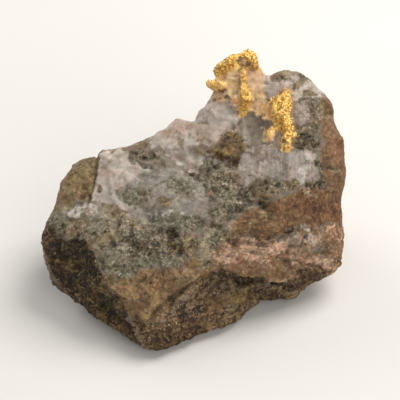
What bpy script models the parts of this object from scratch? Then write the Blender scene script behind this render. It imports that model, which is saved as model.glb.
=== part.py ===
"""Gold in quartz: a hand-sized lump of vein quartz with its wall rock, and the native gold that grew in it.

Metres, +Z up. The origin is on the flat underside, below the middle of the stone. +X runs along the
stone's length and -Y faces the side on which the quartz and the gold are exposed.

The stone is one piece. It is roughed out as a few overlapping blocks, each the convex hull of its
corners, which are fused, worn round, dented where it has hollows and ledges, and roughened.
Each mass of gold is a piece of its own: a clump of grains along a seam, which sits in a seat in the stone.
"""

import math

import bmesh
import bpy
from mathutils import Euler, Matrix, Vector, noise
from mathutils.bvhtree import BVHTree

MM = 0.001

# ---------------------------------------------------------------- the stone, in mm

# Each block is the hull of its corners. Lists run from the top of a block to its foot.
WEST_BLOCK = [
    # back rim of the quartz, from the left end to the saddle
    (-29.4, 4.2, 24.6), (-26.0, 7.4, 26.4), (-21.5, 7.6, 27.2), (-14.0, 9.4, 30.0), (-10.5, 9.8, 29.6),
    (2.0, 13.0, 33.5),
    # left end
    (-34.2, -6.3, 16.0), (-32.4, -3.3, 20.2), (-33.9, -10.1, 12.0), (-31.6, -12.4, 8.0), (-27.8, -13.9, 5.0),
    # edge of the dark face, down to the foot
    (-23.2, -11.5, 21.5), (-20.5, -16.0, 18.0), (-18.0, -19.3, 15.0), (-15.0, -22.3, 8.5),
    (-24.0, -16.2, 3.6), (-19.8, -18.6, 2.4), (-14.4, -23.0, 2.3), (-11.2, -25.4, 2.3), (-8.8, -26.2, 2.6),
    # front edge of the upper face, and its far side inside the east block
    (-6.5, -17.7, 17.5), (4.5, -15.5, 16.5), (8.0, -8.0, 24.0), (10.0, 8.0, 32.0), (10.0, -8.0, 5.0),
    # underside
    (-23.0, -9.0, -1.0), (-16.5, -15.0, -1.0), (-9.5, -20.5, -1.0), (2.0, -15.0, -1.0), (0.0, 16.0, -1.0),
    (-22.0, 10.0, -1.0),
    # back
    (-30.0, 8.0, 12.0), (-24.0, 13.0, 18.0), (-20.0, 15.0, 10.0), (-9.0, 18.4, 21.0), (4.0, 19.6, 25.0),
    (-12.0, 17.6, 8.0), (-4.0, 19.0, 12.0),
]
RIM_LUMP = [
    (-7.3, 11.8, 32.8), (-4.6, 13.6, 34.5), (-0.5, 12.8, 34.5), (-9.5, 5.0, 29.0), (-1.0, 6.0, 32.0),
    (-4.0, 15.0, 27.0), (-12.0, 10.0, 28.0),
]
EAST_BLOCK = [
    # back rim, from the saddle over the shoulder to the right end
    (0.9, 12.6, 34.7), (4.2, 14.0, 37.2), (17.0, 18.6, 42.2), (20.5, 19.0, 43.2), (24.0, 19.1, 43.4),
    (26.4, 18.2, 41.8), (28.2, 17.0, 38.8), (30.0, 15.2, 35.5), (29.3, 12.0, 32.8),
    # right end
    (31.9, 7.4, 29.0), (33.9, 6.4, 26.0), (33.6, 4.4, 23.0), (32.4, 1.5, 20.0), (33.9, 0.4, 16.5),
    (33.0, -5.3, 9.5), (30.8, -6.7, 6.5), (27.4, -8.1, 3.6),
    # upper and lower edges of the smooth brown band, and the near side inside the west block
    (7.5, -8.0, 24.5), (14.2, -5.2, 27.3), (23.3, -2.8, 27.0), (31.5, 2.6, 23.0),
    (7.0, -11.4, 20.6), (11.0, -12.0, 20.0), (15.5, -11.2, 19.6), (23.0, -8.4, 19.0),
    (-2.0, -6.0, 24.0), (-6.0, 6.0, 29.5), (2.0, -12.0, 14.0),
    # underside
    (18.0, -6.5, -1.0), (25.0, -3.0, -1.0), (25.0, 12.0, -1.0), (0.0, 16.0, -1.0), (0.0, -12.0, -1.0),
    # back
    (2.0, 18.6, 32.0), (8.0, 21.4, 33.0), (20.0, 24.0, 33.0), (27.0, 22.0, 26.0), (30.0, 17.5, 21.0),
    (30.0, 14.0, 8.0), (16.0, 24.6, 13.0), (22.0, 21.0, 5.0), (4.0, 22.0, 10.0), (0.0, 20.0, 18.0),
]
KNOB = [
    (5.0, 18.5, 43.0), (8.0, 20.0, 45.4), (12.0, 20.8, 46.6), (13.8, 20.0, 46.0), (15.8, 18.2, 42.0),
    (6.4, 15.6, 39.2), (10.0, 13.5, 40.0), (17.0, 15.5, 40.5),
    (6.0, 21.8, 37.0), (15.0, 22.8, 36.0), (1.5, 12.5, 34.0), (18.0, 12.0, 34.0),
    (6.5, 21.2, 29.0), (16.0, 22.6, 26.0),
]
FRONT_SLAB = [
    # top edge, under the brown band
    (6.6, -11.2, 19.2), (11.0, -12.4, 18.8), (15.1, -11.5, 18.6), (23.1, -6.8, 17.9), (29.0, -2.6, 16.4),
    (32.4, -0.6, 15.6),
    # lower edge, which overhangs the foot
    (4.0, -15.4, 16.6), (4.0, -15.5, 15.4), (6.8, -16.3, 15.0), (9.9, -16.4, 13.6), (14.6, -16.0, 11.1),
    (19.7, -15.2, 8.8), (23.7, -12.7, 7.0), (27.6, -9.2, 5.4), (31.2, -7.3, 7.8), (33.0, -5.2, 10.0),
    # inside the stone
    (6.0, 0.0, 12.0), (28.0, 5.0, 12.0),
]
FOOT_SLAB = [
    (-9.8, -24.0, 6.2), (-7.6, -20.8, 9.5), (-1.0, -17.4, 11.8), (4.9, -13.9, 11.8), (12.3, -12.6, 7.0),
    (14.5, -11.8, 2.6), (10.5, -13.8, 2.6), (5.2, -21.6, 2.4),
    (-3.4, -23.6, 2.2), (-8.8, -26.2, 2.6), (-11.2, -25.4, 2.4), (0.0, -5.0, 3.0), (20.0, -4.0, 5.0),
    (-8.5, -20.5, -1.0), (3.0, -15.5, -1.0), (15.0, -7.5, -1.0),
]
RIGHT_FOOT = [
    (14.4, -12.4, 2.6), (18.0, -12.6, 2.8), (22.2, -12.0, 2.6), (24.0, -11.0, 4.0),
    (15.0, -12.5, 6.5), (22.0, -12.8, 6.5), (18.0, -4.0, 8.0), (26.0, -4.0, 6.0),
    (15.0, -6.0, -1.0), (22.0, -6.0, -1.0),
]
BLOCKS = [WEST_BLOCK, RIM_LUMP, EAST_BLOCK, KNOB, FRONT_SLAB, FOOT_SLAB, RIGHT_FOOT]

FUSE_GRID = 0.9  # mm, grid on which the blocks are fused
WEAR = 0.5  # how far each smoothing pass moves a point towards its neighbours
WEAR_PASSES = 4  # smoothing passes that round the broken edges
WORN_AWAY = 0.55  # mm, given back all over after the wear
STONE_TRIANGLES = 5900
ON_PLANE = 0.0001  # mm, how near the plane of the underside a point counts as lying on it

# Hollows (negative) and lumps (positive) of the worn surface: name, centre, radius, depth or height.
RELIEF = [
    ("upper dark hollow", (-25.5, -12.0, 15.0), 5.0, -2.0),
    ("lower dark hollow", (-18.5, -18.0, 9.5), 4.0, -1.8),
    ("boss between the dark hollows", (-22.0, -16.0, 10.5), 2.5, 1.2),
    ("boss at the left end", (-32.0, -8.0, 15.0), 3.5, 0.8),
    ("shoulder under the left end", (-29.0, -10.0, 20.0), 3.0, 0.8),
    ("notch at the right end", (34.0, 1.5, 19.5), 4.0, -0.9),
    ("hollow between the gold seams", (13.5, 10.0, 37.5), 4.5, -0.9),
    ("brown knot", (6.5, 5.0, 32.5), 4.0, 0.9),
    ("saddle beside the knob", (-0.6, 12.6, 34.6), 3.4, -1.3),
    ("under the nubbin", (3.0, 15.2, 39.6), 2.4, -1.2),
    ("grey hollow under the gold", (12.5, 7.0, 34.5), 4.5, -0.8),
]

# Grooves (negative) and lips (positive) of the worn surface: name, the points that each runs through,
# half width, depth or height.
GROOVES = [
    ("crack above the foot", [(-9.2, -21.9, 6.5), (-4.4, -18.4, 11.0), (3.6, -15.4, 13.5)], 1.4, -1.2),
    ("groove under the front slab", [(4.5, -15.0, 13.2), (9.8, -14.9, 10.6), (19.9, -13.9, 5.8)], 1.8, -1.6),
    (
        "foot of the brown band",
        [(6.7, -11.1, 20.0), (11.0, -12.4, 19.6), (19.2, -9.0, 19.2), (29.0, -2.1, 17.0)],
        1.3,
        -0.8,
    ),
    ("lip below the dark face", [(-30.6, -12.6, 8.6), (-22.2, -17.8, 4.6), (-13.8, -24.2, 4.0)], 2.0, 0.6),
]

SURFACE_LUMPS = [(14.0, 1.1), (6.0, 0.7), (2.8, 0.35)]  # mm across, mm high
LUMPS_APART = 7.3  # how far apart in the noise each size of lump is read, so that they don't line up

# ---------------------------------------------------------------- the gold, in mm

# Each mass is grown from grains along its seams. A seam is a list of points near the skin of the stone,
# each with half the width of the gold there. "grains" is how many grains a seam has, "sizes" their least
# and greatest radius, "lift" how far their middles stand above the skin.
GOLD = {
    "gold_crest": {
        "seams": [
            [
                (4.7, 18.6, 43.2, 1.0), (6.6, 19.1, 44.7, 1.2),
                (8.6, 19.8, 45.8, 1.2), (10.6, 20.2, 46.2, 1.2),
            ],
            [
                (10.6, 20.4, 46.3, 1.4), (12.0, 20.2, 46.5, 1.9),
                (12.6, 19.5, 46.0, 1.3), (13.2, 18.4, 45.1, 0.7),
            ],
        ],
        "grains": 24, "sizes": (0.7, 1.1), "lift": 0.4, "triangles": 700,
    },
    "gold_nubbin": {
        "seams": [[(2.9, 16.9, 41.4, 0.9), (4.3, 16.8, 41.3, 1.3), (6.2, 16.4, 41.4, 1.2)]],
        "grains": 10, "sizes": (0.8, 1.15), "lift": 0.2, "triangles": 300,
    },
    "gold_streak": {
        "seams": [
            [
                (10.3, 18.9, 45.3, 0.6), (10.6, 17.2, 43.8, 0.65),
                (10.5, 15.8, 42.6, 0.65), (10.5, 14.6, 41.4, 0.9),
            ],
            [
                (10.6, 14.4, 41.2, 1.1), (11.0, 13.8, 40.0, 1.35),
                (10.9, 13.2, 38.5, 1.4), (10.4, 12.1, 37.0, 0.9),
            ],
        ],
        "grains": 26, "sizes": (0.4, 0.7), "lift": 0.1, "triangles": 600,
    },
    "gold_cluster": {
        "seams": [
            [
                (20.5, 14.4, 41.1, 0.8), (19.4, 12.6, 39.9, 1.8),
                (18.6, 11.2, 38.8, 2.2), (18.7, 9.4, 37.5, 1.7),
            ],
            [(18.2, 12.6, 39.6, 0.8), (17.3, 11.4, 38.6, 0.9), (17.5, 10.2, 37.8, 0.8)],
            [
                (20.6, 13.0, 40.2, 0.7), (20.4, 10.6, 38.5, 0.9),
                (19.9, 8.9, 37.3, 1.0), (20.0, 7.3, 36.3, 1.2),
            ],
            [
                (20.0, 7.3, 36.3, 1.2), (20.7, 6.1, 35.6, 1.7),
                (19.9, 4.9, 34.7, 1.2), (19.9, 3.8, 33.8, 0.9),
            ],
        ],
        "grains": 32, "sizes": (0.5, 0.85), "lift": 0.1, "triangles": 860,
    },
    "gold_fleck": {
        "seams": [[(17.2, 7.9, 35.7, 0.8), (16.3, 7.4, 35.0, 1.1), (16.0, 6.4, 34.4, 0.8)]],
        "grains": 9, "sizes": (0.45, 0.65), "lift": -0.05, "triangles": 200,
    },
}
OUTWARD = Vector((0.0, -0.6, 0.8))  # out of the side on which the gold is exposed
SKIN_REACH = 6.0  # mm, how far out of the stone its skin is looked for
SKIN_DEPTH = 3.6  # mm, how far inside
SIZE_STEP = 0.7549  # by how much of the range of sizes each grain differs from the one before
SIDE_STEP = 0.6180  # by how much of the width of the seam it lies aside of the one before
SIDE_START = 0.35  # where in that width the first grain lies
GRAIN_TURN = 1.3  # radians by which each grain is turned from the one before
GRAIN_TURNS = (1.0, 1.7, 2.3)  # of that, about each axis
GRAIN_WIDTH = 0.75  # least width of a grain, as a share of its length
GRAIN_WIDENING = 0.2  # by how much more the widths go up and down
WIDENING_TURNS = 5.0  # how fast they do
GRAIN_HEIGHT = 0.85  # height of a grain, as a share of its length
CORE_STEP = 0.5  # mm between the lumps that join the grains of a seam
CORE_SHARE = 0.6  # of the half width of the seam
CORE_LEAST = 0.45  # mm, their least radius
CORE_MOST = 0.85  # mm, their greatest radius
CORE_SUNK = 0.3  # mm below the grains
CORE_TURN = 0.9  # radians by which each of these lumps is turned from the one before
GRAIN_DIVISIONS = 2  # how finely the ball that each grain starts from is divided
GRAIN_GRID = 0.3  # mm, grid on which the grains are fused
GRAIN_WEAR_PASSES = 1
GRAIN_LUMPS = (1.2, 0.16)  # mm across, mm high
SEAT_GAP = 0.33  # mm of room that the stone leaves round the gold
SEAT_GRID = 0.45  # mm, grid of the seats
SEAT_TRIANGLES = 500

# ---------------------------------------------------------------- finishes

STONE_COLOUR = (0.32, 0.28, 0.23, 1.0)
STONE_ROUGHNESS = 0.8
GOLD_COLOUR = (0.80, 0.50, 0.12, 1.0)
GOLD_ROUGHNESS = 0.35


def clear_scene():
    for obj in list(bpy.data.objects):
        bpy.data.objects.remove(obj)


def add_object(name, mesh):
    obj = bpy.data.objects.new(name, mesh)
    bpy.context.scene.collection.objects.link(obj)
    return obj


def applied(obj):
    """Replaces the object's mesh with what its modifiers make of it."""
    bpy.context.view_layer.update()
    graph = bpy.context.evaluated_depsgraph_get()
    mesh = bpy.data.meshes.new_from_object(obj.evaluated_get(graph))
    obj.modifiers.clear()
    obj.data = mesh
    return obj


def hull_into(shape, corners):
    """Adds the convex hull of some corners to a bmesh."""
    verts = [shape.verts.new(Vector(corner) * MM) for corner in corners]
    made = bmesh.ops.convex_hull(shape, input=verts, use_existing_faces=False)
    loose = [v for v in made["geom_interior"] + made["geom_unused"] if isinstance(v, bmesh.types.BMVert)]
    bmesh.ops.delete(shape, geom=list(set(loose)), context="VERTS")


def fuse(obj, grid, passes):
    """Makes overlapping shapes one closed skin, and wears it round."""
    remesh = obj.modifiers.new("Fuse", "REMESH")
    remesh.mode = "VOXEL"
    remesh.voxel_size = grid * MM
    wear = obj.modifiers.new("Wear", "SMOOTH")
    wear.factor = WEAR
    wear.iterations = passes
    return applied(obj)


def relief_at(point):
    """How far the hollows and lumps move a point of the skin, in mm."""
    moved = 0.0
    for _, centre, radius, height in RELIEF:
        near = (Vector(centre) - point).length / radius
        moved += height * math.exp(-near * near)
    return moved


def away_from_line(point, line):
    """The distance of a point from a line of straight runs."""
    nearest = math.inf
    for start, end in zip(line, line[1:]):
        run = Vector(end) - Vector(start)
        along = (point - Vector(start)).dot(run) / run.length_squared
        foot = Vector(start) + run * min(max(along, 0.0), 1.0)
        nearest = min(nearest, (point - foot).length)
    return nearest


def groove_at(point):
    """How far the grooves move a point of the skin, in mm."""
    moved = 0.0
    for _, line, half_width, depth in GROOVES:
        near = away_from_line(point, line) / half_width
        moved += depth * math.exp(-near * near)
    return moved


def roughness_at(point):
    """How far the broken surface stands out at a point, in mm."""
    moved = 0.0
    for step, (across, height) in enumerate(SURFACE_LUMPS):
        moved += height * noise.noise(point / across + Vector((step * LUMPS_APART, 0.0, 0.0)))
    return moved


def roughen(obj):
    mesh = obj.data
    normals = [v.normal.copy() for v in mesh.vertices]
    for vertex, normal in zip(mesh.vertices, normals):
        point = vertex.co / MM
        vertex.co += normal * (WORN_AWAY + relief_at(point) + groove_at(point) + roughness_at(point)) * MM
    mesh.update()


def reduce(obj, triangles):
    thin = obj.modifiers.new("Reduce", "DECIMATE")
    obj.data.calc_loop_triangles()
    thin.ratio = triangles / len(obj.data.loop_triangles)
    thin.use_collapse_triangulate = True
    return applied(obj)


def cut_flat(obj):
    """Cuts the underside off flat at z = 0."""
    shape = bmesh.new()
    shape.from_mesh(obj.data)
    geom = shape.verts[:] + shape.edges[:] + shape.faces[:]
    cut = bmesh.ops.bisect_plane(
        shape, geom=geom, dist=ON_PLANE * MM, plane_co=(0, 0, 0), plane_no=(0, 0, 1), clear_inner=True
    )
    rim = [e for e in cut["geom_cut"] if isinstance(e, bmesh.types.BMEdge)]
    bmesh.ops.holes_fill(shape, edges=rim, sides=0)
    bmesh.ops.recalc_face_normals(shape, faces=shape.faces[:])
    shape.to_mesh(obj.data)
    shape.free()


def make_stone():
    shape = bmesh.new()
    for corners in BLOCKS:
        hull_into(shape, corners)
    mesh = bpy.data.meshes.new("stone")
    bmesh.ops.recalc_face_normals(shape, faces=shape.faces[:])
    shape.to_mesh(mesh)
    shape.free()
    stone = add_object("stone", mesh)
    fuse(stone, FUSE_GRID, WEAR_PASSES)
    roughen(stone)
    reduce(stone, STONE_TRIANGLES)
    cut_flat(stone)
    return stone


def skin_of(obj):
    """Something to ask where the skin of a mesh lies."""
    mesh = obj.data
    return BVHTree.FromPolygons([v.co for v in mesh.vertices], [p.vertices for p in mesh.polygons])


def on_skin(skin, point, lift):
    """The point moved along OUTWARD onto the skin, and lifted off it, in metres. Off the edge it stays."""
    start = (point + OUTWARD * SKIN_REACH) * MM
    hit, normal, _, _ = skin.ray_cast(start, -OUTWARD, (SKIN_REACH + SKIN_DEPTH) * MM)
    if hit is None:
        return point * MM
    return hit + normal * lift * MM


def along_seam(seam, share):
    """Where a seam is at a share of its length: the point, the half width and the way it runs."""
    points = [Vector(stop[:3]) for stop in seam]
    lengths = [(b - a).length for a, b in zip(points, points[1:])]
    left = share * sum(lengths)
    for step, length in enumerate(lengths):
        if left <= length or step == len(lengths) - 1:
            part = min(left / length, 1.0)
            half_width = seam[step][3] + (seam[step + 1][3] - seam[step][3]) * part
            run = points[step + 1] - points[step]
            return points[step] + run * part, half_width, run.normalized()
        left -= length


def grain_into(shape, centre, radius, turn):
    """Adds one grain to a bmesh: a coarse ball, squashed and turned."""
    width = GRAIN_WIDTH + GRAIN_WIDENING * math.sin(turn * WIDENING_TURNS)
    squash = Matrix.Diagonal((1.0, width, GRAIN_HEIGHT, 1.0))
    turned = Euler([turn * turns for turns in GRAIN_TURNS]).to_matrix().to_4x4()
    place = Matrix.Translation(centre) @ turned @ squash
    bmesh.ops.create_icosphere(shape, subdivisions=GRAIN_DIVISIONS, radius=radius, matrix=place)


def seam_into(shape, skin, seam, mass):
    """Adds the grains of one seam, and the lumps under them that make them one mass."""
    small, large = mass["sizes"]
    for step in range(mass["grains"]):
        point, half_width, run = along_seam(seam, (step + 0.5) / mass["grains"])
        radius = small + (large - small) * ((step * SIZE_STEP) % 1.0)
        sideways = 2.0 * ((step * SIDE_STEP + SIDE_START) % 1.0) - 1.0
        across = run.cross(OUTWARD).normalized()
        centre = on_skin(skin, point + across * sideways * max(half_width - radius, 0.0), mass["lift"])
        grain_into(shape, centre, radius * MM, step * GRAIN_TURN)
    length = sum((Vector(b[:3]) - Vector(a[:3])).length for a, b in zip(seam, seam[1:]))
    lumps = round(length / CORE_STEP) + 1
    for step in range(lumps):
        point, half_width, _ = along_seam(seam, step / (lumps - 1))
        radius = min(max(CORE_SHARE * half_width, CORE_LEAST), CORE_MOST)
        grain_into(shape, on_skin(skin, point, mass["lift"] - CORE_SUNK), radius * MM, step * CORE_TURN)


def make_gold(name, mass, skin):
    shape = bmesh.new()
    for seam in mass["seams"]:
        seam_into(shape, skin, seam, mass)
    mesh = bpy.data.meshes.new(name)
    shape.to_mesh(mesh)
    shape.free()
    gold = add_object(name, mesh)
    fuse(gold, GRAIN_GRID, GRAIN_WEAR_PASSES)
    keep_largest(gold)
    across, high = GRAIN_LUMPS
    for vertex in gold.data.vertices:
        vertex.co += vertex.normal * high * noise.noise(vertex.co / MM / across) * MM
    gold.data.update()
    return gold


def keep_largest(obj):
    """Drops all but the largest of a mesh's separate shapes."""
    shape = bmesh.new()
    shape.from_mesh(obj.data)
    left = set(shape.verts)
    shapes = []
    while left:
        found = {left.pop()}
        edge = list(found)
        while edge:
            near = {e.other_vert(v) for v in edge for e in v.link_edges}
            edge = list(near - found)
            found |= near
        left -= found
        shapes.append(found)
    largest = max(shapes, key=len)
    bmesh.ops.delete(shape, geom=[v for v in shape.verts if v not in largest], context="VERTS")
    shape.to_mesh(obj.data)
    shape.free()


def cut_seat(stone, gold):
    """Makes room in the stone for a mass of gold, with a small gap all round it."""
    cutter = add_object(gold.name + "_seat", gold.data.copy())
    room = cutter.modifiers.new("Room", "DISPLACE")
    room.mid_level = 0.0
    room.strength = SEAT_GAP * MM
    fuse(cutter, SEAT_GRID, 0)
    reduce(cutter, SEAT_TRIANGLES)
    cut = stone.modifiers.new("Seat", "BOOLEAN")
    cut.operation = "DIFFERENCE"
    cut.solver = "EXACT"
    cut.object = cutter
    applied(stone)
    keep_largest(stone)
    bpy.data.objects.remove(cutter)


def paint(obj, colour, roughness, metallic):
    material = bpy.data.materials.new(obj.name)
    material.use_nodes = True
    shader = material.node_tree.nodes["Principled BSDF"]
    shader.inputs["Base Color"].default_value = colour
    shader.inputs["Roughness"].default_value = roughness
    shader.inputs["Metallic"].default_value = metallic
    obj.data.materials.append(material)


def centre_on_origin(objects):
    """Slides everything level, so that the middle of its box is above the origin."""
    places = [v.co for obj in objects for v in obj.data.vertices]
    middle_x = (min(p.x for p in places) + max(p.x for p in places)) / 2
    middle_y = (min(p.y for p in places) + max(p.y for p in places)) / 2
    for obj in objects:
        obj.data.transform(Matrix.Translation((-middle_x, -middle_y, 0.0)))


def main():
    clear_scene()
    stone = make_stone()
    skin = skin_of(stone)
    golds = []
    for name, mass in GOLD.items():
        gold = make_gold(name, mass, skin)
        cut_seat(stone, gold)
        reduce(gold, mass["triangles"])
        paint(gold, GOLD_COLOUR, GOLD_ROUGHNESS, 1.0)
        golds.append(gold)
    paint(stone, STONE_COLOUR, STONE_ROUGHNESS, 0.0)
    centre_on_origin([stone, *golds])


main()
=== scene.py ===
"""The finish of a specimen of gold in quartz, as a Blender add-on that is run as a script.

The stone's skin is broken up into chips and grains, and each patch of it has its own mineral: milky and
smoky quartz, sugary quartz with green specks, and brown, rusty and dark wall rock. The gold is a crust of
small leafy grains, and it stains the quartz round it.
"""

import math

import bpy
import numpy as np
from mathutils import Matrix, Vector


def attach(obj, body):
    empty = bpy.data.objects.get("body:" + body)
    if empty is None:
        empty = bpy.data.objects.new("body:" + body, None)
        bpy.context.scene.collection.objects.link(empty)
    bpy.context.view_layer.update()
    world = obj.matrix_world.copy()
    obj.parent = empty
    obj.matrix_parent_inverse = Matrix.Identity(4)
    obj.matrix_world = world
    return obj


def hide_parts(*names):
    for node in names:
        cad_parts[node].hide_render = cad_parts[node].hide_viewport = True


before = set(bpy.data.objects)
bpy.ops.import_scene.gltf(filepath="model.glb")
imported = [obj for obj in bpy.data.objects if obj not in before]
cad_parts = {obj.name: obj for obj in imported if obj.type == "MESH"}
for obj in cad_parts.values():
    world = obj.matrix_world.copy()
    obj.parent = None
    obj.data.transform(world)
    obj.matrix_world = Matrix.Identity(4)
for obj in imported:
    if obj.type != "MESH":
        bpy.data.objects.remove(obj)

bl_info = {
    "name": "Gold in Quartz",
    "version": (1, 0, 0),
    "blender": (4, 5, 0),
    "location": "View3D > Sidebar > Specimen",
    "description": "Finishes the stone and the gold of a specimen of gold in quartz",
    "category": "Add Mesh",
}

MM = 0.001

# ---------------------------------------------------------------- the exposed side, in mm

# The minerals of the exposed side are drawn on a sheet that faces it. The sheet stands square to the line
# from EYE to SHEET_MIDDLE, and a place on it is (across, up) from its middle, in mm.
SHEET_MIDDLE = np.array([1.1, 2.993, 20.0])
SHEET_TILT = math.radians(40)  # how far the eye is above level
EYE_DISTANCE = 300.0
AHEAD = np.array([0.0, math.cos(SHEET_TILT), -math.sin(SHEET_TILT)])
ACROSS = np.array([1.0, 0.0, 0.0])
UP = np.array([0.0, math.sin(SHEET_TILT), math.cos(SHEET_TILT)])
EYE = SHEET_MIDDLE - EYE_DISTANCE * AHEAD

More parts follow.
